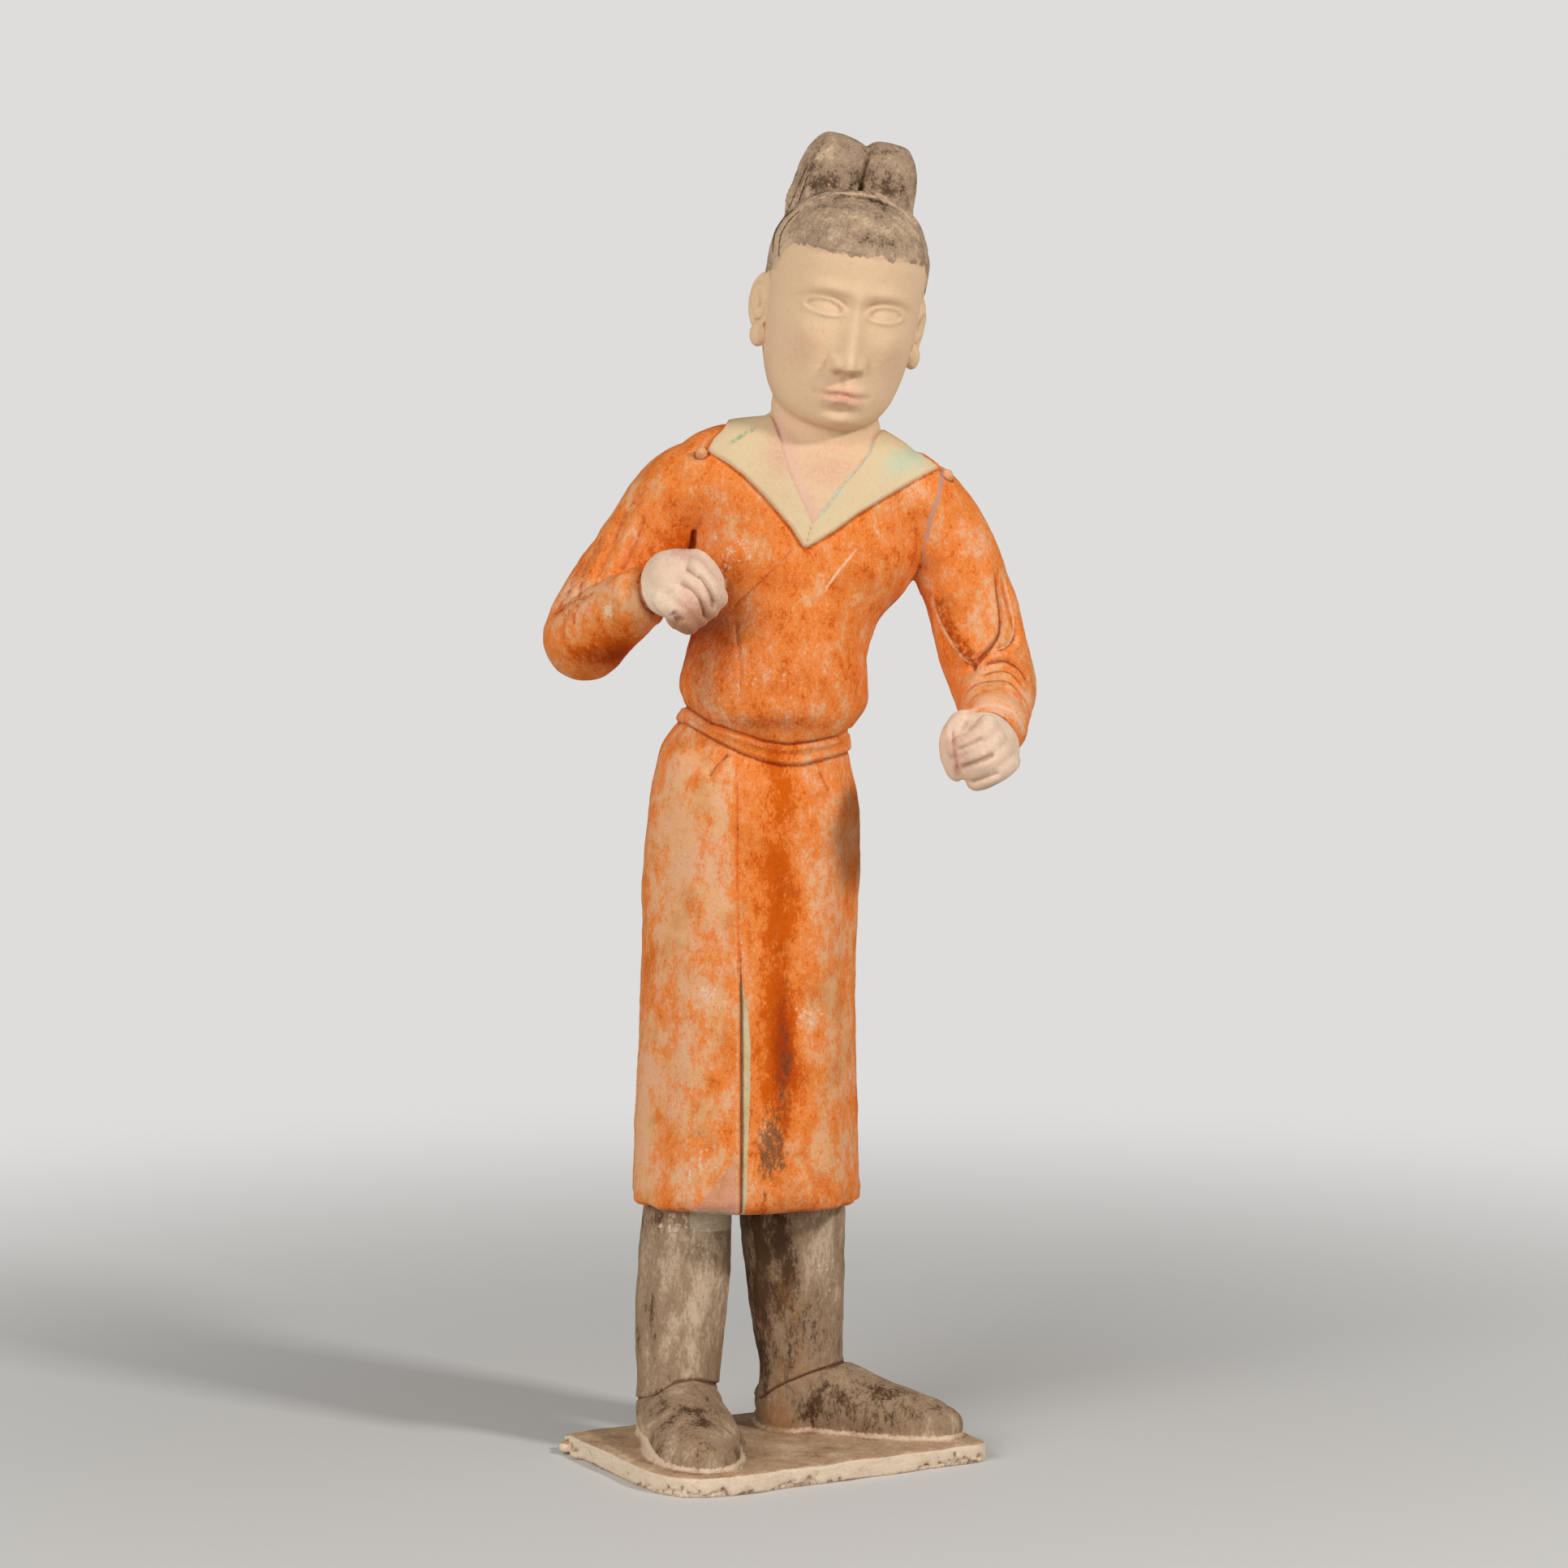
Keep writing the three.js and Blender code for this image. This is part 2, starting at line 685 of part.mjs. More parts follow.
function figure() {
  const solid = joined([
    basePlate(),
    ...boots(),
    coat(),
    ...lapels(),
    ...buttons(),
    ...sleeves(),
    fist(FISTS.right),
    fist(FISTS.left),
    limb(NECK, 16),
    wholeHead(),
  ]);
  const { vertProperties, triVerts } = solid.getMesh();
  const geometry = new THREE.BufferGeometry();
  geometry.setAttribute(
    "position",
    new THREE.BufferAttribute(vertProperties, 3),
  );
  geometry.setIndex(new THREE.BufferAttribute(triVerts, 1));
  geometry.computeVertexNormals();
  const mesh = new THREE.Mesh(geometry, TERRACOTTA);
  mesh.name = "camel_driver_figure";
  return mesh;
}

const part = new THREE.Group();
part.add(figure());
export default part;
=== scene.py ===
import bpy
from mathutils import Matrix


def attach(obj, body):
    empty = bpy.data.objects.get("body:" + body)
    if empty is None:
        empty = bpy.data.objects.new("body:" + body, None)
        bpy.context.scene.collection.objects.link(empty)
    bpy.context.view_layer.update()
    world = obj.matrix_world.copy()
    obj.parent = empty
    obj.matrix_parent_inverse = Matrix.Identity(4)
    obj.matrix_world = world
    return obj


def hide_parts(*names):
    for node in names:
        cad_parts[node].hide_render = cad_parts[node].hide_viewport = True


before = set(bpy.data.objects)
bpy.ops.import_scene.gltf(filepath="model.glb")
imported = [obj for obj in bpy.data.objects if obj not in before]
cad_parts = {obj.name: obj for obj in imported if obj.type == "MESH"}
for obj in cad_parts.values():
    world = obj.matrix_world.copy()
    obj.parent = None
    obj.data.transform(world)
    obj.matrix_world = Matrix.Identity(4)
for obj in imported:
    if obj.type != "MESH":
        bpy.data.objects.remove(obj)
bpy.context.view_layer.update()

from types import SimpleNamespace

import bpy
import numpy as np

# Camera
# A long lens at chest height, 1.8 m in front of the figure, that looks down by 3 degrees.
EYE = np.array([0.0028, -1.8, 0.430])
camera = bpy.data.objects.new("camera", bpy.data.cameras.new("camera"))
camera.location = EYE
camera.rotation_euler = (np.radians(86.947), 0, 0)
camera.data.sensor_width = 36
camera.data.lens = 84.4
bpy.context.scene.collection.objects.link(camera)
bpy.context.scene.camera = camera

# Base plate
# A slab of clay cut by hand, a little out of square, with its front corner worn round and its lower edge
# chipped. Every part of the figure adds closed skins of clay to one list, in millimetres, and they are fused
# further down.
MM = 0.001
PLATE_THICK = 10
PLATE_CORNERS = [((-108, 14), 9), ((-48, -94), 36), ((106, -8), 10), ((52, 89), 14)]  # and how far worn
PLATE_EDGE = [(1.4, 0), (0.4, 0.5), (0, 1.4), (0, 8.6), (0.4, 9.6), (1.4, PLATE_THICK)]  # inset and height
PLATE_CUT = 0.35  # how far the knife strayed
LUMPS = [((-105.5, 8, 3.5), 4), ((-99, -3, 2.2), 3.2), ((-101, 2, 1.8), 2.6), ((-104, 13, 7), 3)]
skins = []


def smoothly(value, low, high):
    """0 below low, 1 above high, and 3t^2 - 2t^3 of the share t between them."""
    share = np.clip((value - low) / (high - low), 0, 1)
    return share * share * (3 - 2 * share)


def bump(away, wide):
    """A bell, exp(-(away / wide)^2)."""
    return np.exp(-((away / wide) ** 2))


def unit(arrows):
    """Arrows over their own lengths."""
    return arrows / np.linalg.norm(arrows, axis=-1, keepdims=True)


def through(rows, share):
    """The smooth curve through a table of rows: between rows p and q it is the cubic that leaves and arrives
    with half the step between the neighbours of p and of q. share runs from 0 at the first row to 1 at the
    last."""
    rows = np.asarray(rows, float)
    place = np.clip(share, 0, 1) * (len(rows) - 1)
    i = np.minimum(place.astype(int), len(rows) - 2)
    t = (place - i)[..., None]
    p, q = rows[i], rows[i + 1]
    leave = (q - rows[np.maximum(i - 1, 0)]) / 2
    arrive = (rows[np.minimum(i + 2, len(rows) - 1)] - p) / 2
    return (((2 * p - 2 * q + leave + arrive) * t + 3 * q - 3 * p - 2 * leave - arrive) * t + leave) * t + p


def uneven(places, size, seed):
    """Soft unevenness, about -1 to 1: the sum of 14 sine waves that run in random directions, with waves near
    size."""
    chance = np.random.default_rng(seed)
    runs = unit(chance.normal(size=(14, 3))) * 2 * np.pi / (size * chance.uniform(0.7, 1.6, (14, 1)))
    return np.sin(places @ runs.T + chance.uniform(0, 2 * np.pi, 14)).sum(-1) / 14**0.5


def closed_skin(rings, first, last):
    """Adds a closed skin of clay. rings[i, j] is point j of ring i; rings are joined by triangles, and each
    end closes in a fan on its own point."""
    along, around = rings.shape[:2]
    here = np.arange(along * around).reshape(along, around)
    beside = np.roll(here, -1, 1)
    a, b, c, d = here[:-1].ravel(), beside[:-1].ravel(), beside[1:].ravel(), here[1:].ravel()
    tips = along * around, along * around + 1
    fans = [
        np.stack([beside[0], here[0], np.full(around, tips[0])], 1),
        np.stack([here[-1], beside[-1], np.full(around, tips[1])], 1),
    ]
    triangles = np.concatenate([np.stack([a, b, c], 1), np.stack([a, c, d], 1), *fans])
    skins.append((np.concatenate([rings.reshape(-1, 3), [first], [last]]), triangles))


def plate_outline(count):
    """Evenly spaced points round the plate: straight sides, and at each corner the curve (1-t)^2 enter +
    2t(1-t) corner + t^2 leave."""
    corners = np.array([corner for corner, _ in PLATE_CORNERS], float)
    t = np.linspace(0, 1, 12)[:, None]
    line = []
    for i, (_, worn) in enumerate(PLATE_CORNERS):
        corner = corners[i]
        enter = corner + worn * unit(corners[i - 1] - corner)
        leave = corner + worn * unit(corners[(i + 1) % 4] - corner)
        line.append((1 - t) ** 2 * enter + 2 * t * (1 - t) * corner + t**2 * leave)
    line = np.concatenate([*line, line[0][:1]])
    gone = np.concatenate([[0], np.cumsum(np.linalg.norm(np.diff(line, axis=0), axis=1))])
    marks = np.linspace(0, gone[-1], count, endpoint=False)
    return np.stack([np.interp(marks, gone, line[:, k]) for k in range(2)], 1)


def base_plate():
    """Rings of the outline at the heights of PLATE_EDGE, drawn in by the inset and by the unevenness of the
    cut."""
    outline = plate_outline(700)
    ahead = unit(np.roll(outline, -1, 0) - np.roll(outline, 1, 0))
    inward = np.stack([-ahead[:, 1], ahead[:, 0]], 1)
    rings = []
    for inset, height in PLATE_EDGE:
        level = np.column_stack([outline, np.full(len(outline), height)])
        cut = inset + PLATE_CUT + PLATE_CUT * uneven(level * [1, 1, 3], 24, 3)
        rings.append(np.column_stack([outline + inward * cut[:, None], level[:, 2]]))
    closed_skin(np.array(rings), (0, 0, 0), (0, 0, PLATE_THICK))


def ball(centre, half, axes=np.eye(3), dent=None, steps=48):
    """A ball: centre + half sizes times (sin v cos u, sin v sin u, cos v) along the axes; dent moves its
    points."""
    v = np.linspace(0, np.pi, steps)[1:-1, None]
    u = np.linspace(0, 2 * np.pi, steps, endpoint=False)[None]
    way = np.stack([np.sin(v) * np.cos(u), np.sin(v) * np.sin(u), np.cos(v) + 0 * u], -1)
    local = np.concatenate([way.reshape(-1, 3), [[0, 0, 1], [0, 0, -1]]]) * half
    if dent:
        local = local + dent(local)
    world = np.asarray(centre) + local @ np.asarray(axes, float)
    closed_skin(world[:-2].reshape(*way.shape), world[-2], world[-1])


base_plate()
for lump, size in LUMPS:
    ball(lump, (size, size, size * 0.8), steps=20)

# Boots
# Two straight shafts, each on a foot with a pointed toe. They are pressed and luted to the plate with wet
# clay, which is squeezed out round the soles. The figure's left foot turns out.
BOOTS = [  # the shaft from below up, and the foot from heel to toe: centres and half sizes
    (
        [
            (-50, 8, 8, 21, 24), (-50, 7, 24, 20, 22), (-50, 8, 38, 20, 21), (-49, 9, 60, 22, 22),
            (-47, 10, 92, 23, 23), (-45, 10, 122, 22, 22), (-44, 10, 134, 20, 20),
        ],
        [
            (-56, 37, 15, 4, 4), (-55.8, 36, 15.5, 9, 8), (-54, 30, 17, 16, 13.5), (-51, 14, 21, 20, 18.5),
            (-49, 2, 23, 21.5, 20.5), (-46, -16, 21, 22.5, 19), (-42, -34, 17.5, 23.5, 17),
            (-38, -51, 14.5, 21, 14), (-35, -64, 13.5, 15.5, 11.5), (-33.5, -71.5, 14.5, 9, 7.5),
            (-33, -75, 15.5, 4, 3.5),
        ],
    ),
    (
        [
            (8, 30, 8, 20, 22), (10, 30, 24, 20, 21), (11, 30, 42, 20.5, 20.5), (10, 29, 60, 22.5, 21),
            (8, 26, 92, 25, 22), (7, 23, 122, 26, 22), (7, 22, 134, 24, 21),
        ],
        [
            (-8, 41.5, 16, 4, 4), (-7.2, 41, 16, 8, 7.5), (-3, 39, 18, 14.5, 13.5), (8, 34, 22, 19.5, 19),
            (20, 29, 24, 20.5, 21), (35, 22.5, 21.5, 20.5, 19.5), (51, 15.5, 18.5, 20, 16.5),
            (67, 9, 16.3, 17.3, 14.3), (80, 4, 15.6, 12.8, 11.4), (87, 2, 16.5, 8.5, 8),
            (90.8, 0.8, 17.5, 4, 4),
        ],
    ),
]
SLIP = [(2.5, 9), (1.7, 10.4), (0.7, 11.7), (-0.4, 13.6), (-2.5, 17)]  # how far out, at what height


def limb(rows, along, around, side=(1, 0, 0), relief=None, change=None):
    """Ellipses square to a path. At share v the rows give the centre c and half sizes a and b, and the point
    at angle t is c + cos t (a + relief) across + sin t (b + relief) up, with across nearest to side."""
    share = np.linspace(0, 1, along)[1:-1, None]
    angle = np.linspace(0, 2 * np.pi, around, endpoint=False)[None]
    row = through(rows, share)
    forward = unit((through(rows, share + 0.01) - through(rows, share - 0.01))[..., :3])
    side = np.asarray(side, float)
    across = unit(side - (forward @ side)[..., None] * forward)
    up = np.cross(forward, across)
    out = relief(angle, share) if relief else 0
    wide = (np.cos(angle) * (row[..., 3] + out))[..., None]
    high = (np.sin(angle) * (row[..., 4] + out))[..., None]
    rings = row[..., :3] + wide * across + high * up
    ends = [through(rows, np.array(v))[:3] for v in (0.0, 1.0)]
    if change:
        rings, ends = change(rings), [change(end) for end in ends]
    closed_skin(rings, *ends)


def slip_round(foot):
    """Clay squeezed out round a sole: the foot's outline near the ground, moved out by the profile SLIP,
    which comes and goes by a third along the way."""
    share = np.linspace(0.03, 0.97, 120)
    rows = through(foot, share)
    ahead = unit(np.gradient(rows[:, :2], axis=0))
    beside = np.column_stack([-ahead[:, 1], ahead[:, 0]])
    reach = rows[:, 3] * np.sqrt(np.clip(1 - ((rows[:, 2] - 12) / rows[:, 4]) ** 2, 0.02, 1))
    left = rows[:, :2] + beside * reach[:, None]
    right = rows[:, :2] - beside * reach[:, None]
    outline = np.concatenate([left, right[::-1]])
    for _ in range(4):
        outline = (np.roll(outline, 1, 0) + 2 * outline + np.roll(outline, -1, 0)) / 4
    along = unit(np.roll(outline, -2, 0) - np.roll(outline, 2, 0))
    outward = np.column_stack([-along[:, 1], along[:, 0]])
    middle = outline.mean(0)
    if ((outline - middle) * outward).sum() < 0:
        outward = -outward
    rings = []
    for out, height in SLIP:
        places = np.column_stack([outline, np.full(len(outline), height)])
        swell = out * (1 + 0.35 * uneven(places, 18, 8)) if out > 0 else out
        rings.append(np.column_stack([outline + outward * np.reshape(swell, (-1, 1)), places[:, 2]]))
    closed_skin(np.array(rings), (*middle, SLIP[0][1]), (*middle, SLIP[-1][1]))


for shaft, foot in BOOTS:
    limb(shaft, 150, 160)
    limb(foot, 160, 160, side=(foot[-1][1] - foot[0][1], foot[0][0] - foot[-1][0], 0))
    slip_round(foot)

# Coat
# The long coat: a nearly straight skirt with a slit down the front, hips, a waist tucked in by a thin sash, a
# belly that hangs over it, chest and shoulders. It was pressed in two moulds, front and back.
COAT = [  # from the hem up: centre, half width, half depth and squareness
    (-16, 9, 126.5, 46, 39, 2.3), (-16, 9, 128, 54, 45.5, 2.3), (-16, 9, 132.5, 56.3, 47.8, 2.3),
    (-16, 9, 152, 55.6, 47, 2.25), (-15.7, 8.7, 175, 54.8, 46.5, 2.2), (-15.4, 8.4, 205, 53.8, 45.8, 2.2),
    (-15, 8, 235, 53, 45.3, 2.2), (-14.2, 7.5, 265, 53.2, 44.8, 2.2), (-13.3, 7, 292, 53.5, 44, 2.2),
    (-12.4, 6, 315, 52.5, 42.5, 2.2), (-12, 5.5, 330, 50.5, 41, 2.2), (-11, 5, 343, 47, 39, 2.2),
    (-9.2, 5, 350, 44, 37.8, 2.15), (-7.8, 5, 354, 42, 36.8, 2.15), (-7, 4.5, 357.5, 41, 36, 2.15),
    (-6, 4, 361.5, 39.8, 35.3, 2.1), (-4, 2, 367.5, 42.5, 37.5, 2.1), (-2.7, 0.5, 375, 45.8, 40.5, 2.1),
    (-2.2, 0, 386, 46, 41, 2.1), (-0.5, 1, 399, 44.5, 39.5, 2.1), (4, 2.5, 414, 45.5, 37.5, 2.15),
    (10.5, 3, 429, 51.5, 36, 2.2), (15, 3, 444, 56, 35.5, 2.25), (15, 3.5, 460, 57.5, 34.5, 2.25),
    (13.5, 4, 475, 59.5, 33, 2.3), (11.5, 5, 487, 60, 30, 2.3), (7.5, 6, 497, 57, 26, 2.2),
    (5.5, 7, 505, 47, 21.5, 2.1), (8, 8, 510, 36, 17, 2), (17, 8, 512.5, 24, 12, 2),
    (21, 8, 513.5, 10, 6, 2),
]
WAIST_HEIGHT, WAIST_SAG, WAIST_LIFT, WAIST_TILT = 357.3, 13.5, 3.5, 0.15
COAT_RADIUS = 50
SKIRT_VALLEYS = [
    (16, 9, 2.6), (-37, 10, 1.2), (56, 10, 1.4), (110, 12, 1.6), (-100, 13, 1.4), (150, 9, 1.2),
]


def rounded(angle, squareness):
    """cos and sin of the angle, each c pushed out to sign(c) |c|^(2 / squareness)."""
    return [np.sign(c) * np.abs(c) ** (2 / squareness) for c in (np.cos(angle), np.sin(angle))]


def coat():
    """Level sections: at angle t from the front, x + s(sin t)(wide + out) and y - s(cos t)(deep + out), where
    s is rounded() and out is less than 0 in the skirt's valleys, each deep * exp(-(away / wide)^2). Round the
    waist a section drops by (sag front^1.5 - lift + tilt across) exp(-(height / 24)^2)."""
    share = np.linspace(0, 1, 440)[1:-1, None]
    angle = np.linspace(-np.pi, np.pi, 420, endpoint=False)[None]
    x, y, z, wide, deep, square = np.moveaxis(through(COAT, share), -1, 0)
    front, side = rounded(angle, square)
    valleys = sum(depth * bump(angle * COAT_RADIUS - at, reach) for at, reach, depth in SKIRT_VALLEYS)
    out = -valleys * (1 - smoothly(z, 285, 330))
    drop = WAIST_SAG * np.maximum(front, 0) ** 1.5 - WAIST_LIFT + WAIST_TILT * side * wide
    drop = drop * bump(z - WAIST_HEIGHT, 24)
    rings = np.stack([x + side * (wide + out), y - front * (deep + out), z - drop], -1)
    closed_skin(rings, COAT[0][:3], COAT[-1][:3])


coat()

# Sleeves
# The right arm bends in front of the chest and the left arm hangs and bends forward. Each is a solid roll of
# clay luted to the shoulder, with the folds of the cloth scored in it by a wooden tool.
SLEEVES = [  # from inside the shoulder to the cuff: centres and half sizes
    [
        (-2, 6, 478, 12, 10), (-14, 6, 480, 27, 22), (-28, 6, 481, 28, 22.5), (-41, 6.5, 478, 26.5, 23.5),
        (-52, 7, 468.5, 24.5, 24), (-61, 7.5, 456, 22.5, 23), (-72, 8, 442, 22, 22),
        (-83, 8, 427, 21.5, 21.5), (-92, 6, 411, 21, 21), (-95, 0, 404.5, 20, 20),
        (-91, -10, 407, 19.5, 19.5), (-80, -24, 416, 18, 18), (-70, -36, 423, 15.5, 15.5),
        (-65, -42, 427, 14, 14), (-62, -45, 428.5, 9, 9),
    ],
    [
        (28, 6, 470, 12, 10), (40, 6, 472, 26, 21), (52, 6, 474, 26.5, 22), (63, 6.5, 473, 25, 22.5),
        (74, 7, 465, 23.5, 22.5), (82, 7, 453, 21.5, 22), (89, 7, 438, 20.5, 22), (94, 8, 424, 21.5, 22),
        (99, 8, 405, 21.3, 22), (103, 6, 391, 20.5, 21.5), (105.5, -2, 380, 19.5, 20.5),
        (105.5, -14, 373.5, 18, 18.5), (104.5, -28, 367, 16.5, 16.5), (103.5, -38, 362, 15.5, 15.5),
        (103, -43, 359.5, 9, 9),
    ],
]
for arm in SLEEVES:
    limb(arm, 260, 170, side=(0, 1, 0))

# Fists
# Solid fists, closed on a rein that is gone: a palm, four curled fingers and a thumb, smoothed together.
# A finger's rows are places ahead and up with a radius, and the thumb's also say how far across.
FINGER = [(-4, 5, 3), (4, 8, 5.4), (14, 7, 6), (19, -1, 6), (15, -10, 5.8), (5, -14, 5.2), (-2, -13, 2.5)]
THUMB = [
    (-14, -2, 12, 3), (-6, -5, 15, 6.5), (5, -11, 13, 6.5), (10, -16, 6, 5.4), (11, -17.5, -2, 4.6),
    (11, -17, -6, 2),
]
KNUCKLES = (-12.6, -4.4, 4, 12)
FIST_SCALE = 0.94
FISTS = [  # its place, the knuckles' way, the way of the back of the hand, and the thumb's side
    ((-47, -53, 431), (0.62, -0.5, -0.6), (-0.3, -0.85, 0.4), 1),
    ((99.5, -52, 355), (-0.2, -0.93, -0.3), (0.84, -0.2, 0.5), -1),
]


def fist(at, ahead, up, thumb_side):
    """A fist from balls and limbs, in lengths towards the knuckles, the back of the hand, and the thumb."""
    ahead = unit(np.array(ahead))
    rise = unit(np.array(up) - (ahead @ up) * ahead)
    across = np.cross(rise, ahead) * thumb_side
    axes = np.array([ahead, rise, across])

    def place(*lengths):
        """From lengths along the fist's own axes to the figure's frame."""
        return np.array(at) + np.array(lengths) @ axes * FIST_SCALE

    ball(place(-3, 0, -0.5), (17, 13.5, 17), axes)
    ball(place(7, -3, -0.5), (12, 11, 14.5), axes)
    for i, shift in enumerate(KNUCKLES):
        curl = 1 - 0.05 * abs(i - 1.7)
        rows = [
            (*place(a * curl, b * curl, shift * (1 - 0.012 * max(a, 0))), r * 0.84, r * 0.9)
            for a, b, r in FINGER
        ]
        limb(rows, 60, 32, side=across)
    limb([(*place(a, b, c), r, r) for a, b, c, r in THUMB], 60, 32, side=rise)


for held in FISTS:
    fist(*held)

# Neck and head
# The head was pressed in its own mould and luted to the neck. It leans and turns a little to the figure's
# left and looks slightly down. The face is calm and regular: eyes halfway down, a fifth of the width each,
# nose and mouth below.
NECK = [  # centres and half sizes
    (21, 6, 490, 20, 20), (22, 6, 500, 27, 24), (22.5, 5.5, 512, 26.7, 24), (23, 5, 520, 26, 24),
    (27, 4, 540, 25, 25),
]
HEAD_AT = np.array([31, -3, 567])
LEAN, TURN, BOW = np.radians((8, 10, 8))
EYE_APART, EYE_HALF = 15, 7.4
NOSE_BASE, MOUTH, BROW = -28.5, -39.8, 9.5
SKULL = [  # in the head's own frame, from the chin up: centre, half width, half depth and squareness
    (0, -10, -57, 9, 12, 2), (0, -9, -56, 17, 21, 2), (0, -7, -51, 24, 28, 2.1), (0, -4, -42, 30, 33, 2.2),
    (0, -1, -30, 34, 37.5, 2.25), (0, 0, -16, 36, 40, 2.25), (0, 1, 0, 37, 42, 2.2),
    (0, 2, 15, 37.5, 44, 2.2), (0, 2, 28, 36.5, 44, 2.15), (0, 2, 40, 31, 38.5, 2.1),
    (0, 2, 50, 21, 27, 2), (0, 2, 54, 12, 16, 2), (0, 2, 55.5, 5, 7, 2),
]


def turned():
    """The head's frame: lean about y, after turn about z, after bow about x."""
    (cl, cn, cb), (sl, sn, sb) = np.cos((LEAN, TURN, BOW)), np.sin((LEAN, TURN, BOW))
    lean = np.array([[cl, 0, sl], [0, 1, 0], [-sl, 0, cl]])
    turn = np.array([[cn, -sn, 0], [sn, cn, 0], [0, 0, 1]])
    bow = np.array([[1, 0, 0], [0, cb, -sb], [0, sb, cb]])
    return lean @ turn @ bow


HEAD_FRAME = turned()


def on_head(places):
    """From the head's own frame to the figure's."""
    return np.asarray(places) @ HEAD_FRAME.T + HEAD_AT


def face_relief(x, z):
    """How far the face stands forward at a place x across and z up: each feature is a product of bells."""
    side = np.abs(x)
    down = np.clip((5 - z) / (5 - NOSE_BASE), 0, 1)
    bridge = (2.2 + 8.2 * down**1.3) * np.exp(-(np.abs(x / (4 + 2.1 * down)) ** 2.3))
    bridge *= smoothly(z, NOSE_BASE - 1.7, NOSE_BASE + 1.7) * (1 - smoothly(z, 3, 16))
    above_base = z - NOSE_BASE
    nose = 1.7 * bump(x, 4.6) * bump(above_base - 4.4, 4)
    nose += 3.9 * bump(side - 6.6, 2.4) * bump(above_base - 3.3, 3.2)
    nose -= 1.5 * bump(side - 9.9, 1.2) * bump(above_base - 3.4, 3.6)
    nose -= 3.0 * bump(side - 3.6, 1.6) * bump(above_base + 0.2, 1.2)
    socket = -4.0 * bump(side - 14.5, 10.5) * bump(z - 1, 6.8)
    socket -= 0.7 * bump(side - 8, 3.6) * bump(z - 2, 4.5)
    eyeball = 3.9 * bump(side - EYE_APART, 7.4) * bump(z + 0.2, 4.9)
    tall = np.where(z > 0, 3.5, 2.3)
    lid = np.sqrt(((side - EYE_APART) / EYE_HALF) ** 2 + ((z - 0.05 * (side - EYE_APART)) / tall) ** 2)
    lids = 1.2 * bump(lid - 1.3, 0.18) - 0.8 * bump(lid - 1.0, 0.11)
    lids -= 0.7 * bump(lid - 1.8, 0.17) * smoothly(z, 1, 4)
    brow = 2.3 * bump(side - EYE_APART, 12) * bump(z - BROW + 0.012 * (side - 14) ** 2, 3.5)
    brow += 0.8 * bump(x, 7) * bump(z - 11, 6) + 1.0 * bump(x, 22) * bump(z - 24, 12)
    width = np.clip(1 - (x / 12.2) ** 2, 0, 1)
    parting = MOUTH + 0.5 * bump(x, 3) - 0.35 * bump(side - 5.5, 3)
    lips = 2.3 * width**0.7 * bump(z - parting - 2.4, 2.1) + 2.9 * width**0.9 * bump(z - parting + 2.9, 2.6)
    lips -= 0.8 * bump(x, 1.8) * bump(z - parting - 4.4, 1.5)
    lips -= 1.9 * width**0.5 * bump(z - parting, 0.8) + 1.0 * bump(side - 12.6, 1.7) * bump(z - MOUTH, 1.8)
    muzzle = 2.4 * bump(x, 14) * bump(z - MOUTH, 9.5) - 1.6 * bump(x, 8) * bump(z - MOUTH + 8, 2.5)
    muzzle -= 0.8 * bump(x, 1.7) * smoothly(z, -37.5, -34) * (1 - smoothly(z, -32, -29))
    chin = 3.0 * bump(x, 10.5) * bump(z + 53, 5)
    cheeks = 2.1 * bump(side - 21, 8.5) * bump(z + 13, 9.5) - 0.9 * bump(side - 24, 7) * bump(z + 33, 9)
    return bridge + nose + socket + eyeball + lids + brow + lips + muzzle + chin + cheeks


def skull():
    """Level sections from chin to crown, with the face's relief on the front half, and more columns there."""
    share = np.linspace(0, 1, 340)[1:-1, None]
    turn = np.linspace(-np.pi, np.pi, 460, endpoint=False)[None]
    angle = turn - 0.6 * np.sin(turn)
    x, y, z, wide, deep, square = np.moveaxis(through(SKULL, share), -1, 0)
    front, side = rounded(angle, square)
    across = x + side * wide
    face = smoothly(front, 0.2, 0.5) * face_relief(across, z)
    rings = np.stack([across, y - front * deep - face, z + 0 * across], -1)
    closed_skin(on_head(rings), on_head(SKULL[0][:3]), on_head(SKULL[-1][:3]))


def ear(hand):
    """A flat shell turned a little forward, hollowed by bells inside a raised rim, over a full lobe."""
    flare = np.radians(28)
    out = (np.cos(flare), -hand * np.sin(flare), 0)
    back = (hand * np.sin(flare), np.cos(flare), 0)
    axes = np.array([out, back, (0, 0.1, 1)]) @ HEAD_FRAME.T

    def hollow(local):
        """How the ear's outer face is pressed in and its folds are raised."""
        open_side = smoothly(hand * local[:, 0], 0, 1.5)
        bowl = 3.2 * bump(local[:, 1] + 2, 3.6) * bump(local[:, 2] + 1.5, 6.5)
        rim = np.hypot((local[:, 1] + 0.5) / 6.2, (local[:, 2] - 1) / 12)
        folds = 1.3 * bump(rim - 0.82, 0.13) - 0.8 * bump(rim - 0.5, 0.14) * smoothly(local[:, 2], -4, 2)
        return np.outer(-hand * open_side * (bowl + folds), [1, 0, 0])

    ball(on_head(np.array((38.8 * hand, 4.5, -4))), (4.4, 8.4, 14.2), axes, hollow, steps=110)
    ball(on_head(np.array((38.5 * hand, 0.5, -19.5))), (4, 4.8, 6.3), axes, steps=60)


limb(NECK, 60, 160)
skull()
for hand in (-1, 1):
    ear(hand)

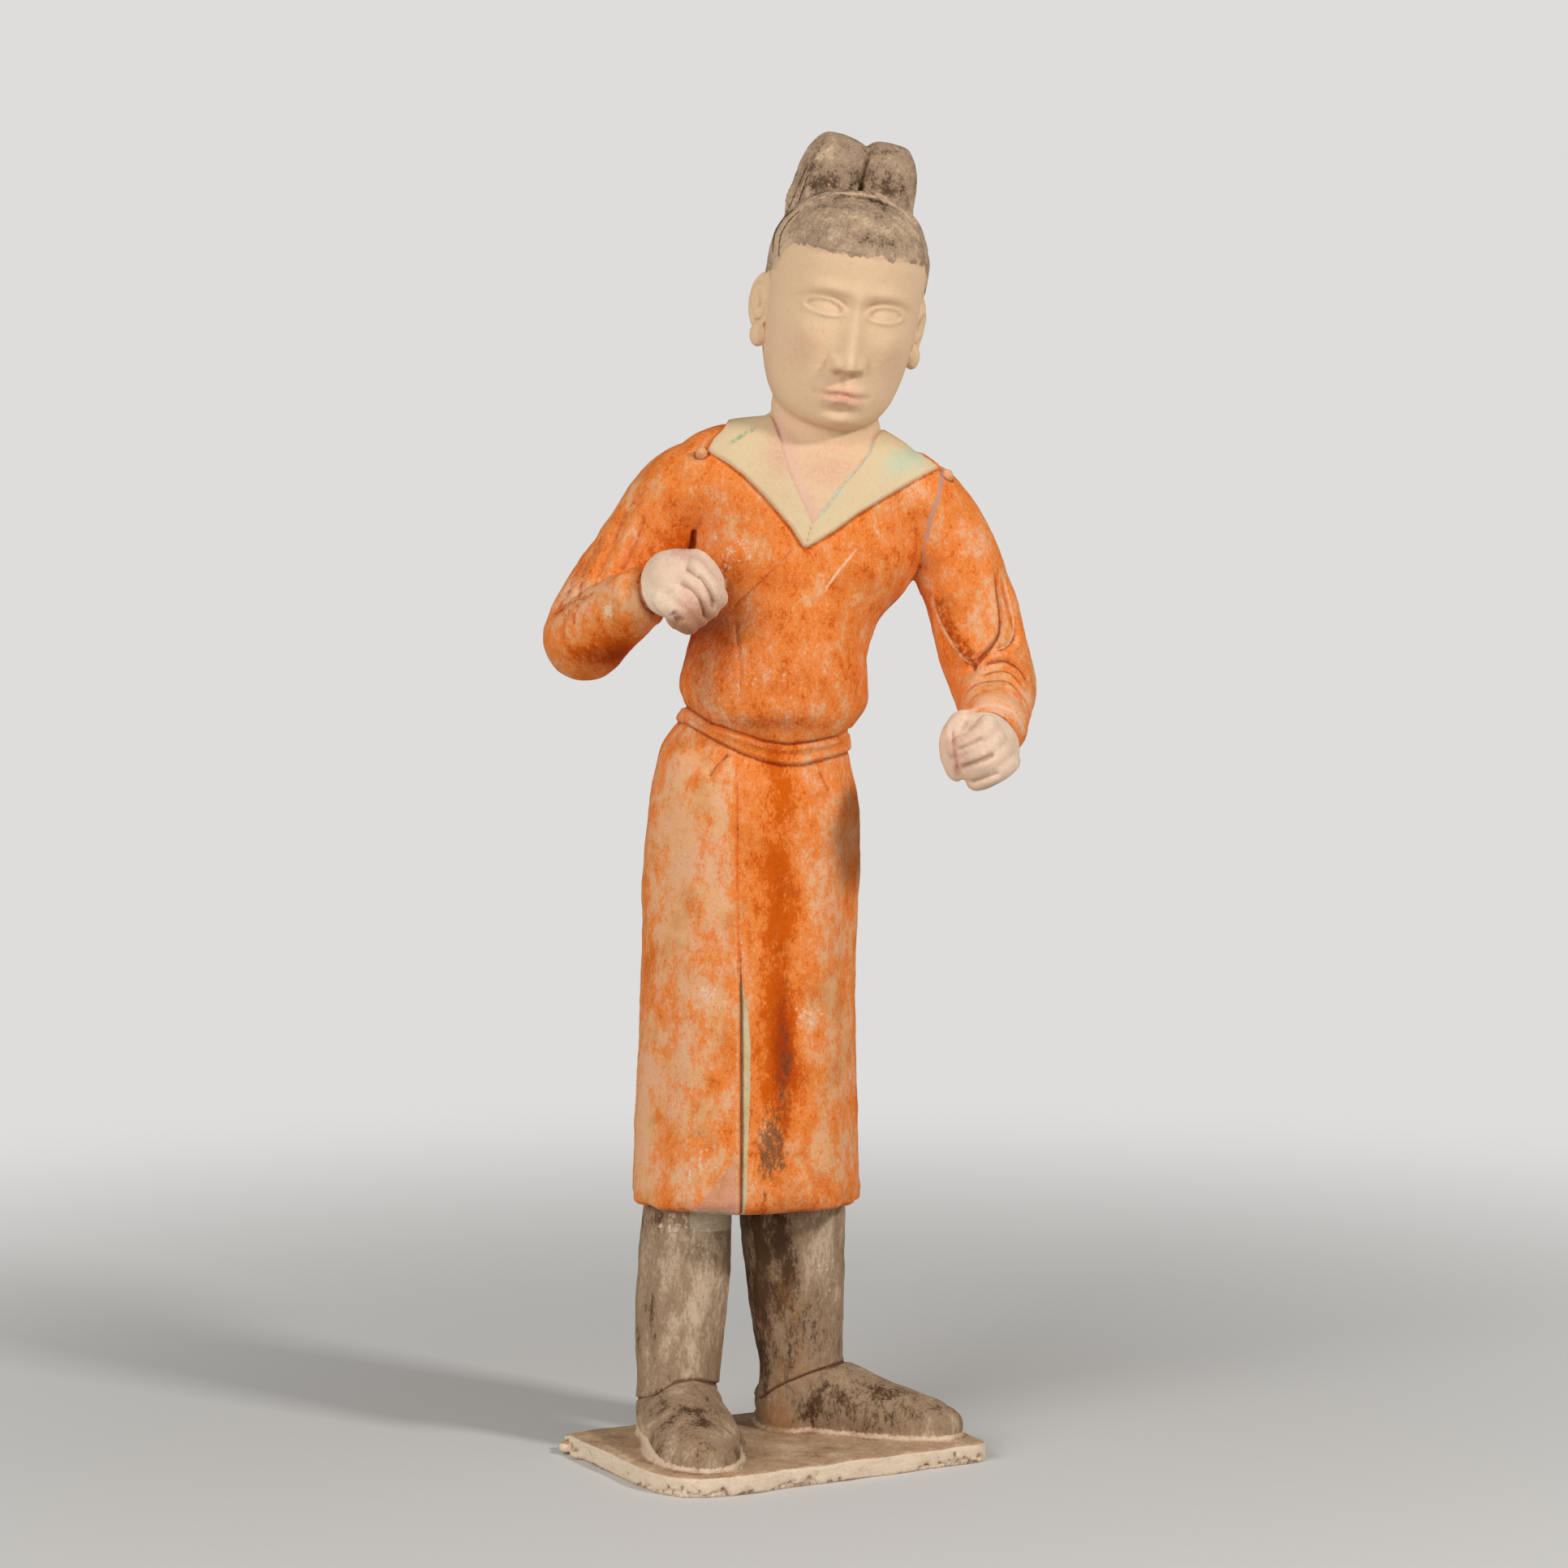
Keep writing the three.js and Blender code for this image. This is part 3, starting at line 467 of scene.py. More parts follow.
# Hair
# Combed up from the forehead and the nape over a raised rim, and gathered behind the crown into a topknot of
# two upright lobes. The comb's grooves show behind and on its right side.
LOBES = [(-13, 16.3, 0.2), (16, 15, 0)]  # place across, half width and lean
LOBE = [  # from below up: place back and up, share of the half width, and half depth
    (22, 26, 0.6, 14), (23, 40, 0.94, 18.5), (24, 52, 0.99, 17), (24, 63, 0.98, 15.5), (23, 72, 0.88, 13),
    (22, 77, 0.68, 9.5), (21.5, 79.3, 0.36, 5),
]


def hairline(head):
    """How far above the hairline a place in the head's frame is: the line is high in front and drops to the
    nape."""
    x, y, z = head.T
    front = (2 - y) / np.hypot(x, y - 2)
    return z - (-26 + 53 * smoothly(front, -0.35, 0.6))


def lobes():
    """Upright limbs, smooth in front. Behind, and on the outside of the figure's right lobe, the comb's
    grooves are cos(28 t + 2 share) deep."""
    for x, wide, lean in LOBES:
        places = [x * (1 - 0.2 * smoothly(z, 60, 80)) + lean * (z - 52) for _, z, _, _ in LOBE]
        rows = [(place, y, z, wide * share, deep) for place, (y, z, share, deep) in zip(places, LOBE)]

        def comb(angle, share):
            """The comb's grooves, which fade at the top."""
            outside = smoothly(np.cos(angle) * np.sign(x), 0.3, 0.6)
            behind = smoothly(np.sin(angle), -0.1, 0.5)
            fade = smoothly(share, 0.92, 0.75)
            return np.cos(28 * angle + 2 * share) * np.maximum(0.7 * behind, outside * (x < 0)) * fade

        limb(rows, 170, 240, relief=comb, change=on_head)


def hair_rim():
    """A roll that thins out to its ends, over the front of the crown from ear to ear: x = 37.6 sin t, y = 3 -
    22.5 cos^1.5 t, z = 14 + 40.5 cos^0.9 t."""
    t = np.radians(np.linspace(-78, 78, 15))
    x, y, z = 37.6 * np.sin(t), 3 - 22.5 * np.cos(t) ** 1.5, 14 + 40.5 * np.cos(t) ** 0.9
    thick = 0.8 + 1.2 * np.cos(t)
    limb(np.column_stack([x, y, z, thick, thick]), 140, 24, side=(0, 1, 0), change=on_head)


lobes()
hair_rim()

# Buttons
# Two pellets of clay pressed on where the turned-back lapels end at the shoulders.
BUTTONS = [(-37.3, -15, 495.8), (82.4, -3.3, 484.8)]
for button in BUTTONS:
    ball(button, (2.9, 2.9, 2.9), steps=28)

# One body
# All the clay is fused while wet into one body, and its joins are smoothed with a finger, most where the
# arms, the neck and the soles join. Then the wooden tool scores it, and its panels are raised.
VOXEL = 0.8
JOIN_SMOOTHED, HOLLOW_WIDTH = 14, 10  # each is a number of rounds of smoothing times the voxel


def take_result(thing):
    """Takes what the modifiers make as the thing's own mesh."""
    graph = bpy.context.evaluated_depsgraph_get()
    mesh = bpy.data.meshes.new_from_object(thing.evaluated_get(graph))
    thing.modifiers.clear()
    thing.data = mesh


def fused():
    """All the skins in one mesh, made one closed surface by a voxel remesh."""
    mesh = bpy.data.meshes.new("camel_driver")
    starts = np.cumsum([0] + [len(points) for points, _ in skins])
    points = np.concatenate([points for points, _ in skins]) * MM
    triangles = np.concatenate([tri + start for (_, tri), start in zip(skins, starts)])
    mesh.vertices.add(len(points))
    mesh.vertices.foreach_set("co", points.ravel())
    mesh.loops.add(triangles.size)
    mesh.loops.foreach_set("vertex_index", triangles.ravel())
    mesh.polygons.add(len(triangles))
    mesh.polygons.foreach_set("loop_start", np.arange(0, triangles.size, 3))
    mesh.update(calc_edges=True)
    body = bpy.data.objects.new("camel_driver", mesh)
    bpy.context.scene.collection.objects.link(body)
    remesh = body.modifiers.new("fuse", "REMESH")
    remesh.mode = "VOXEL"
    remesh.voxel_size = VOXEL * MM
    remesh.use_smooth_shade = True
    take_result(body)
    return body


def read(rows, name, wide, kind=np.float32):
    """One property of all of a mesh's vertices, normals or edges, as rows of wide numbers."""
    values = np.empty(len(rows) * wide, kind)
    rows.foreach_get(name, values)
    return values.reshape(-1, wide)


def spots(mesh):
    """Where each vertex is in millimetres, its outward direction, and where it shows on the upright plane
    through the origin, seen from the camera's place: eye + (place - eye) * eye's distance / depth."""
    at = read(mesh.vertices, "co", 3).astype(float) / MM
    out = read(mesh.vertex_normals, "vector", 3).astype(float)
    eye = EYE / MM
    depth = (at[:, 1] - eye[1]) / -eye[1]
    shown = eye[[0, 2]] + (at[:, [0, 2]] - eye[[0, 2]]) / depth[:, None]
    return SimpleNamespace(at=at, out=out, shown=shown, facing=-out[:, 1], head=(at - HEAD_AT) @ HEAD_FRAME)


def neighbours_mean(points, edges):
    """Each vertex's mean over the vertices that edges join it to."""
    a, b = edges.T
    total = len(points)
    count = np.bincount(edges.ravel(), minlength=total)
    sums = [np.bincount(a, points[b, k], total) + np.bincount(b, points[a, k], total) for k in range(3)]
    return np.stack(sums, 1) / count[:, None]


def near_join(at):
    """Where the joins were smoothed most, from 0 to 1: at the armpits, under the chin and round the soles."""
    armpits = sum(bump(at[:, 0] - x, 16) * bump(at[:, 2] - z, 26) for x, z in ((-38, 462), (72, 458)))
    neck = bump(np.hypot(at[:, 0] - 22, at[:, 1] - 6) - 27, 9) * bump(at[:, 2] - 511, 7)
    soles = bump(at[:, 2] - 11.5, 2.6)
    return np.clip(armpits + neck + soles, 0, 1)


body = fused()
edges = read(body.data.edges, "vertices", 2, np.int32)
clay = spots(body.data)
join = near_join(clay.at)[:, None]
for done in range(round(JOIN_SMOOTHED / VOXEL)):
    share = 0.5 if done < 2 else 0.6 * join
    clay.at += share * (neighbours_mean(clay.at, edges) - clay.at)


def put(mesh, at):
    """Moves the mesh's vertices to places in millimetres."""
    mesh.vertices.foreach_set("co", (at * MM).astype(np.float32).ravel())
    mesh.update()


put(body.data, clay.at)
clay = spots(body.data)


def from_line(places, line):
    """How far each place is from a curved line, on which side of it (1 is left), and how far along, from 0 to
    1. The line is cut into short straight pieces, and each place takes its nearest one."""
    points = through(line, np.linspace(0, 1, 7 * len(line)))
    best, side, share = np.full(len(places), np.inf), np.ones(len(places)), np.zeros(len(places))
    for i, (start, end) in enumerate(zip(points, points[1:])):
        ahead = end - start
        t = np.clip((places - start) @ ahead / (ahead @ ahead), 0, 1)
        off = places - start - t[:, None] * ahead
        away = np.hypot(off[:, 0], off[:, 1])
        nearer = away < best
        best[nearer] = away[nearer]
        side[nearer] = np.sign(ahead[0] * off[nearer, 1] - ahead[1] * off[nearer, 0])
        share[nearer] = (i + t[nearer]) / (len(points) - 1)
    return best, side, share


def near(s, region, line, margin):
    """The numbers of the places in a region of the figure that show within margin of a line's box."""
    x, y, z = s.at.T
    allowed = {
        "torso": (y > -46) & (x < 60),
        "right arm": (x < -55) | (s.shown[:, 0] < -60),
        "left arm": x > 70,
        "fist": y < -44,
        "foot": z < 40,
        "hair": z > 585,
        "topknot": (z > 590) & (s.head[:, 1] > 3),
    }[region] & (s.facing > -0.3)
    low, high = np.min(line, 0) - margin, np.max(line, 0) + margin
    return np.flatnonzero(allowed & np.all((s.shown > low) & (s.shown < high), 1))


def inside_outline(places, corners):
    """How far each place is inside a closed outline, in millimetres, and below 0 outside: the least distance
    to a side, with the sign of the number of sides that a line to the left crosses."""
    corners = np.asarray(corners, float)
    best, inside = np.full(len(places), np.inf), np.zeros(len(places), bool)
    for start, end in zip(corners, np.roll(corners, -1, 0)):
        ahead = end - start
        t = np.clip((places - start) @ ahead / (ahead @ ahead), 0, 1)
        off = places - start - t[:, None] * ahead
        best = np.minimum(best, np.hypot(off[:, 0], off[:, 1]))
        if end[1] != start[1]:
            level = (places[:, 1] - start[1]) / (end[1] - start[1])
            inside ^= (level >= 0) & (level < 1) & (places[:, 0] > start[0] + level * ahead[0])
    return np.where(inside, best, -best)


# Scored lines
# What the wooden tool and the years have cut in the clay: folds, overlaps, cracks and comb marks. Each is a
# curved line as it shows from the front, with its width, its depth, and how much its left side stands over
# its right.
SCORED = {
    "torso": [
        ([(10.3, 451.5), (0, 440.5), (-15.1, 426.6), (-24, 418)], 1.1, 0.4, 0.6),
        ([(-21, 415.1), (-20.2, 405.2), (-18.7, 392.5), (-18.7, 379.8), (-19.6, 374.6)], 1.0, 0.6, 0.1),
        ([(-41, 459), (-41.6, 453), (-42.6, 447), (-43, 438)], 1.1, 2.0, 0),
        ([(-23.6, 348.7), (-29.8, 343.2), (-34.2, 336.4)], 1.2, 1.0, 0.5),
        ([(19.9, 340.8), (23.1, 334.8), (25.1, 330)], 1.1, 0.8, -0.4),
        ([(20.6, 243.2), (26.8, 240.5), (31.3, 235.2), (37.5, 232.5)], 0.5, 0.4, 0),
        ([(11.1, 495), (20.2, 492.3), (32.1, 491.5), (42.8, 493.8)], 1.8, 0.6, 0),
        ([(16.3, 500.9), (28.1, 498.2), (40, 500.5)], 1.6, 0.3, 0),
    ],
    "right arm": [
        ([(-65.4, 477.2), (-72.3, 469.1), (-76.5, 461.1), (-79.5, 453.9), (-84.2, 444.6), (-90.2, 429.4)],
            2.6, 1.5, 0.4),
        ([(-65.5, 466.6), (-67.3, 458.1), (-69.8, 451.4), (-74, 442.1), (-77.5, 437)], 2.6, 1.2, 0.3),
        ([(-85, 457.3), (-89.2, 448.8), (-92.7, 442.1), (-95.2, 436.2), (-96.9, 428.6), (-97.4, 423.5)],
            2.2, 1.3, 0.4),
        ([(-95.2, 443), (-98.6, 437), (-101.2, 430.3), (-103.7, 425.2), (-108.4, 418.4)], 1.6, 1.2, 0.4),
        ([(-111, 416.5), (-106.3, 420.1), (-101.2, 422.7), (-95.3, 425), (-89, 428.3)], 1.3, 1.0, 0.4),
        ([(-101.6, 420), (-104.2, 415.1), (-105.9, 409.1), (-105.3, 404)], 1.2, 0.9, 0.4),
        ([(-97.6, 422), (-99.5, 419.3), (-100.2, 415.1), (-99.7, 412)], 1.1, 0.9, 0.3),
    ],
    "left arm": [
        ([(74.3, 430.4), (76.4, 421.3), (82.5, 407.8), (90, 397.2), (95.3, 393.5), (97.5, 392.8)],
            1.3, 0.9, 1.9),
        ([(93, 391), (96.1, 393.5), (102.8, 400.3), (107.6, 407.8), (108.3, 418.1), (106.9, 430.4),
            (105, 444)], 1.3, 1.3, 1.7),
        ([(109.6, 438.4), (112.9, 426.4), (115.7, 415.3), (116.7, 407.9), (115.3, 403.3), (111.1, 400.5),
            (104.7, 398.6)], 1.2, 1.3, 1.2),
        ([(98.5, 393), (109.6, 395), (115.5, 392.8), (119.9, 388.9), (123.5, 382.5)], 1.0, 1.7, 0.6),
        ([(97, 387), (106.4, 390.4), (114, 388.9), (119.9, 383.6), (123.5, 377.5)], 1.0, 1.7, 0.6),
        ([(90, 378), (96.1, 383.7), (103.6, 386), (112.4, 385.6), (118.7, 380.5), (123, 373)],
            1.0, 1.6, 0.6),
        ([(91, 374), (98, 379), (108, 380.5), (117, 376), (122.5, 368.5)], 1.6, 0.7, 0.2),
    ],
    "fist": [
        ([(-48.7, 433.2), (-42.8, 429.4), (-38.5, 424.3), (-36, 418.4), (-35.2, 413)], 1.1, 1.5, 0.3),
        ([(-39.5, 437), (-34.7, 430.3), (-31.8, 424.3), (-31, 418.5)], 1.1, 1.4, 0.3),
        ([(-45.5, 440), (-42, 437.4), (-38.4, 434)], 1.2, 0.9, 0),
        ([(-52.6, 418), (-49.8, 415.4), (-47.4, 412.6)], 1.8, 2.4, 0),
        ([(85.7, 365), (86.3, 350.3), (88.6, 336)], 1.1, 1.0, 0.3),
        ([(86.8, 359.3), (92.6, 365.2)], 1.4, 0.5, 0),
        ([(87.5, 350), (94.6, 353.2), (101, 356.5)], 1.2, 1.3, 0),
        ([(89, 341.8), (98.3, 344.8), (106.5, 348.6)], 1.2, 1.5, 0),
        ([(94, 334.6), (100.2, 336.4), (109, 340)], 1.2, 1.4, 0),
    ],
    "foot": [
        ([(-29.8, 20), (-25, 15), (-20, 11), (-17, 4.5)], 1.0, 0.8, 0.3),
        ([(-37, 27), (-29, 28.5), (-22, 25.5), (-18, 20)], 1.2, 0.35, 0),
    ],
    "hair": [
        ([(0, 588), (2.6, 600), (6.5, 608), (12.6, 614), (19.5, 618), (27.3, 619.6), (36, 619.2),
            (45, 618), (53, 615), (60, 610), (65, 604)], 0.9, 0.7, 0.3),
    ],
    "topknot": [
        ([(2.5, 609.9), (6.2, 618.2), (9.4, 626.6), (12.5, 633.9), (15.1, 639.1)], 0.8, 0.9, 0),
        ([(-1.5, 606), (3.5, 617), (7, 627), (10, 634)], 0.8, 0.8, 0),
        ([(7.3, 617.2), (10.4, 624.5), (13.1, 630.8), (15.7, 637), (18.2, 641.2)], 0.7, 0.8, 0),
        ([(10.4, 618.8), (13.1, 625.5), (14.6, 631.8)], 0.6, 0.5, 0),
        ([(44.6, 641), (42.5, 634.9), (40.9, 629.7), (39.9, 623.5), (39.5, 619)], 0.9, 1.4, 0),
    ],
}


def scored(s):
    """How far the lines' places stand out: -deep exp(-(d / wide)^2) + 0.15 deep exp(-((d - 2.2 wide) /
    wide)^2) + step side exp(-d / (4 wide)), where d is the distance to the line and side is 1 on its left and
    -1 on its right. All of it fades towards the line's ends."""
    depth = np.zeros(len(s.at))
    lines = [(region, *line) for region, group in SCORED.items() for line in group]
    for region, line, wide, deep, step in lines:
        close = near(s, region, line, 10 * wide)
        away, side, share = from_line(s.shown[close], line)
        fade = smoothly(np.minimum(share, 1 - share), 0, 0.16)
        cut = -deep * bump(away, wide) + 0.15 * deep * bump(away - 2.2 * wide, wide)
        rise = step * side * np.exp(-away / (4 * wide)) * smoothly(away, 0, 0.8 * wide)
        depth[close] += fade * (cut + rise)
    return depth


# Seams and sash
# Lines that go right round: the sash, tied thin under the belly, and the seam where each boot's shaft
# overlaps its foot. In front they follow the curve that shows, and behind they run straight from end to end.
SASH_RAISE, SASH_GROOVE_ABOVE, SASH_GROOVE_BELOW = 1.5, 1.0, 0.35
SASH_TOP = [
    (-46.3, 371.4), (-33, 362.3), (-20.3, 358), (-7.5, 354.2), (5.2, 352.3), (17.9, 353.1), (29.4, 356.3),
    (36, 359.6),
]
SASH_FOOT = [
    (-46.3, 365), (-34.3, 358), (-22.8, 352.2), (-16.5, 349.1), (-7.5, 345.9), (1.4, 344), (11.6, 344),
    (21.8, 346.5), (36, 350.9),
]
ANKLES = [
    [(-72, 29.5), (-60.6, 32.5), (-51, 38.2), (-41.4, 39.5), (-29.3, 37.3)],
    [(-10, 29.5), (-1.2, 35.7), (8.4, 39.8), (16.4, 43), (25.3, 45.9), (33, 49)],
]


def above(s, line):
    """How far above a line that goes round a place shows."""
    x, z = np.transpose(line)
    front = np.interp(s.shown[:, 0], x, z)
    behind = np.interp(s.shown[:, 0], x[[0, -1]], z[[0, -1]])
    return s.shown[:, 1] - front - (behind - front) * smoothly(s.facing, 0.25, -0.25)


def in_sash(s):
    """How far inside the sash's band round the waist a place shows."""
    inside = np.minimum(-above(s, SASH_TOP), above(s, SASH_FOOT))
    return np.where((np.abs(s.at[:, 0] + 5) < 62) & (np.abs(s.at[:, 2] - 357) < 30), inside, -20)


def wrapped(s):
    """The sash stands out by SASH_RAISE, with a groove along each edge. At an ankle the shaft stands over the
    foot by 0.9 exp(-d / 8), with a groove 1 mm deep under it."""
    sash = in_sash(s)
    groove = np.where(above(s, SASH_TOP) > -2, SASH_GROOVE_ABOVE, SASH_GROOVE_BELOW)
    depth = SASH_RAISE * smoothly(sash, -0.5, 0.7) - groove * bump(sash + 1, 0.9)
    for i, ankle in enumerate(ANKLES):
        boot = (s.at[:, 2] < 58) & (s.at[:, 2] > 24) & (s.at[:, 1] < 62)
        boot &= (s.at[:, 0] < -24) if i == 0 else (s.at[:, 0] > -24) & (s.at[:, 0] < 36)
        over = above(s, ankle)
        seam = 0.9 * smoothly(over, -0.3, 0.5) * np.exp(-np.maximum(over, 0) / 8) - bump(over + 0.4, 0.8)
        depth += boot * seam
    return depth


# Lapels and slit
# The wide lapels turn back from the neck and run on as a low collar behind it. The skirt is open in front:
# its right panel lies over the left one, and lower down the cream lining of its turned edge shows.
LAPELS = [
    [
        (-34.5, 497), (-24, 490.6), (-16.4, 484.9), (-7.5, 476.1), (0.1, 467.2), (6.5, 459.6),
        (13.1, 449.2), (16.6, 461.5), (10.3, 476.1), (5.2, 487.4), (0.1, 505.1), (-5.6, 520), (-18.6, 519),
        (-27.5, 506.3), (-31.2, 502.9),
    ],
    [
        (13.1, 449.2), (28.1, 458.3), (38.2, 465.9), (50.9, 473.5), (66.1, 482.4), (78.5, 488.9),
        (68.6, 496.3), (55.9, 504.5), (50.2, 507), (47, 502.6), (44.5, 495), (39.4, 488.7), (30.6, 478.6),
        (23.6, 468.5), (16.6, 461.5),
    ],
]
LAPEL_RAISE, COLLAR_REACH = 1.7, 36
NECK_AXIS = (22, 6)
SLIT = [(-20.4, 347), (-20.4, 301), (-19.9, 269), (-19.2, 240), (-18.9, 197), (-18.9, 152), (-19.3, 118)]
LINING = [
    (-19.3, 246), (-15.1, 222.6), (-13.7, 204.7), (-13.9, 179.5), (-15.2, 150.7), (-15.5, 129.1),
    (-17.6, 118),
]


def in_lapels(s):
    """How far inside a lapel a place shows, or inside the collar, a ring behind the neck."""
    off = s.at[:, :2] - NECK_AXIS
    reach = np.hypot(*off.T)
    z = s.at[:, 2]
    collar = np.minimum(COLLAR_REACH - reach, np.minimum(z - 499, off[:, 1] - 5))
    collar = np.minimum(collar, 512 - z + 2 * np.maximum(reach - 27, 0))
    front = np.full(len(s.at), -20.0)
    close = np.flatnonzero((z > 440) & (z < 520) & (s.at[:, 1] < 12))
    for outline in LAPELS:
        inside = np.minimum(inside_outline(s.shown[close], outline), 11 - s.at[close, 1])
        front[close] = np.maximum(front[close], inside)
    return np.maximum(front, collar)


def across(s, line):
    """How far a place shows to the right of an upright line, given as its x at each height from the top
    down."""
    x, z = np.transpose(line[::-1])
    return s.shown[:, 0] - np.interp(s.shown[:, 1], z, x)


def opening(s):
    """The slit: the right panel's edge stands over the left panel by exp(d / 9). Low down a groove runs
    beside it, and the lining slopes up from there to the left panel's own edge."""
    beside, past = across(s, SLIT), across(s, LINING)
    strip = np.maximum(beside - past, 0)
    low = smoothly(s.shown[:, 1], 262, 235)
    over = (0.7 + 0.6 * low) * np.exp(np.minimum(beside, 0) / 9) * smoothly(-beside, -0.4, 0.6)
    groove = -(0.15 + 0.6 * low) * bump(beside - 0.6, 0.8)
    slope = -1.2 * np.clip(1 - beside / np.maximum(strip, 0.1), 0, 1) * (beside > 0) * smoothly(strip, 0, 3)
    edge = 0.5 * smoothly(past, -0.4, 0.4) * np.exp(-np.maximum(past, 0) / 7) * smoothly(strip, 0, 3)
    skirt = (s.at[:, 1] < 2) * (s.at[:, 2] > 122)
    shown = smoothly(347 - s.shown[:, 1], 0, 22) * skirt * smoothly(s.facing, 0.1, 0.5)
    return shown * (over + groove + slope + edge)


def in_lining(s):
    """How far inside the lining's strip a place shows."""
    strip = np.minimum(across(s, SLIT) - 0.7, -across(s, LINING))
    return np.where((s.shown[:, 1] < 246) & (s.at[:, 1] < 2), strip, -20)


def past_cuffs(s):
    """How far past its cuff towards the hand each place near a hand is, and -20 elsewhere."""
    past = np.full(len(s.at), -20.0)
    for (at, *_), arm in zip(FISTS, SLEEVES):
        ahead = unit(np.array(at) - arm[-2][:3])
        close = np.linalg.norm(s.at - at, axis=1) < 36
        past[close] = (s.at[close] - arm[-1][:3]) @ ahead
    return past


# Modelled surface
# The panels' edges, the cuffs, the hair's thickness over the forehead, the comb's lines behind, chips along
# the plate's lower edge, and the slight unevenness that a hand leaves.
CHIPS = [(-54, 10), (-30, 13), (11, 13), (91, 13)]  # where they show across, and half their length
CHIP_DEPTH, HAIR_THICK, COMB_DEPTH, COMB_LINES = 1.3, 1.2, 0.3, 52
CUFF_RIDGE, CUFF_GROOVE = 0.8, 1.4
PELLET_RIM, PELLET_GROOVE = 0.3, 0.9
HEM_WAVES, HAND_WAVES, HAND_DENTS = 0.6, 0.3, 0.1
TRIANGLES = 196000
CRISP_SHARE = 0.09  # of the places, those that curve most keep all their detail


def chipped(s):
    """From 0 to 1, how far the plate's edge is broken: at the chips in front, and here and there all
    round."""
    side = (s.at[:, 2] < 9.2) & (np.abs(s.out[:, 2]) < 0.8)
    often = sum(bump(s.shown[:, 0] - x, wide) for x, wide in CHIPS) * (s.facing > 0.2)
    rough = 0.8 * uneven(s.at * [1, 1, 1.5], 9, 21) + 0.6 * uneven(s.at, 3, 22)
    return side * smoothly(rough + 1.9 * often - 0.4 * (s.at[:, 2] - 1.5), 0.8, 1.5)


def modelled(s):
    """Everything raised or pressed in on the soft body, in millimetres outwards."""
    depth = scored(s) + wrapped(s) + opening(s)
    lapels = in_lapels(s)
    depth += LAPEL_RAISE * smoothly(lapels, -0.4, 0.8) - 0.25 * bump(lapels + 0.9, 0.7)
    cuff = past_cuffs(s)
    cuff_edge = CUFF_RIDGE * bump(cuff + 1.6, 1.2) - CUFF_GROOVE * bump(cuff - 0.3, 0.9)
    depth += np.where(cuff > -19, cuff_edge, 0)
    hair = hairline(s.head)
    x, y, z = s.head.T
    skull = smoothly(z, -36, -32) * smoothly(z, 58, 44)
    ears = bump(np.abs(x) - 41, 6) * bump(y - 3, 12) * bump(z + 7, 20)
    depth += HAIR_THICK * smoothly(hair, -0.6, 1.4) * skull * (1 - smoothly(ears, 0.1, 0.3))
    fan = np.arctan2(x, 62 - z)
    behind = smoothly(y, 12, 20) * smoothly(hair, 1, 6) * skull * smoothly(np.hypot(x, z - 46), 30, 36)
    depth += COMB_DEPTH * np.cos(COMB_LINES * fan) * behind
    for button in BUTTONS:
        away = np.linalg.norm(s.at - button, axis=1)
        depth += PELLET_RIM * smoothly(away, 3.5, 2.7) - PELLET_GROOVE * bump(away - 4, 0.7)
    depth -= CHIP_DEPTH * chipped(s)
    depth += HEM_WAVES * uneven(s.at, 13, 31) * bump(s.at[:, 2] - 130, 5)
    hand_made = HAND_WAVES * uneven(s.at, 26, 5) + HAND_DENTS * uneven(s.at, 8, 6)
    bare = (s.at[:, 2] > 505) & (hair < 0)
    depth += hand_made * np.where(bare, 0.35, 1) * (s.at[:, 2] > 0.8)
    return depth


clay.at += modelled(clay)[:, None] * clay.out
under = (clay.at[:, 2] < 0.6) & (clay.out[:, 2] < -0.7)
clay.at[under, 2] = 0
clay.at[:, 2] = np.maximum(clay.at[:, 2], 0)
put(body.data, clay.at)
soft = clay.at
for _ in range(round(HOLLOW_WIDTH / VOXEL)):
    soft = neighbours_mean(soft, edges)
clay = spots(body.data)


def keep(name, values):
    """Keeps one number for each vertex, where the paint can read it."""
    kept = body.data.attributes.new(name, "FLOAT", "POINT")
    kept.data.foreach_set("value", np.clip(values, -20, 20).astype(np.float32))


hollow = ((soft - clay.at) * clay.out).sum(1)
keep("hollow", hollow)
x, y, z = clay.head.T
features = (y < -15) & (z > -50) & (z < 14)
crisp = np.abs(hollow) > np.quantile(np.abs(hollow), 1 - CRISP_SHARE)
crisp &= (clay.facing > 0) & (clay.at[:, 2] > 20)
detail = body.vertex_groups.new(name="detail")
detail.add(np.flatnonzero(features | crisp).tolist(), 1.0, "REPLACE")
thin = body.modifiers.new("thin", "DECIMATE")
thin.ratio = min(1.0, TRIANGLES / (2 * len(body.data.polygons)))
thin.vertex_group, thin.invert_vertex_group = detail.name, True
take_result(body)
body.vertex_groups.clear()
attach(body, "root")
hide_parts("camel_driver_figure")

# Painted areas
# A thin cream slip under earth colours: an orange coat with cream lapels, pale flesh, grey-brown hair and
# boots. Each area has a full, a strong and a worn tone, a size of its clouds, its contrast, how ragged and
# how soft its edge is, and how its clouds are drawn out: upright below 1, and level above it.
s = spots(body.data)
x, y, tall = s.head.T
z = s.at[:, 2]
# Down and up the lapels' inner edges, and round the neck.
V_NECK = [*LAPELS[0][11:6:-1], *LAPELS[1][13:9:-1], (50.2, 507), (60, 511), (60, 524)]
HEM_REPAIR = [(-19.8, 150), (-42.5, 122), (-34.8, 119), (-19.4, 119)]
BOOT_REPAIR = [(-43.6, 126), (-43.7, 114.2), (-37.3, 112.6), (-23.6, 113.4), (-21, 126)]


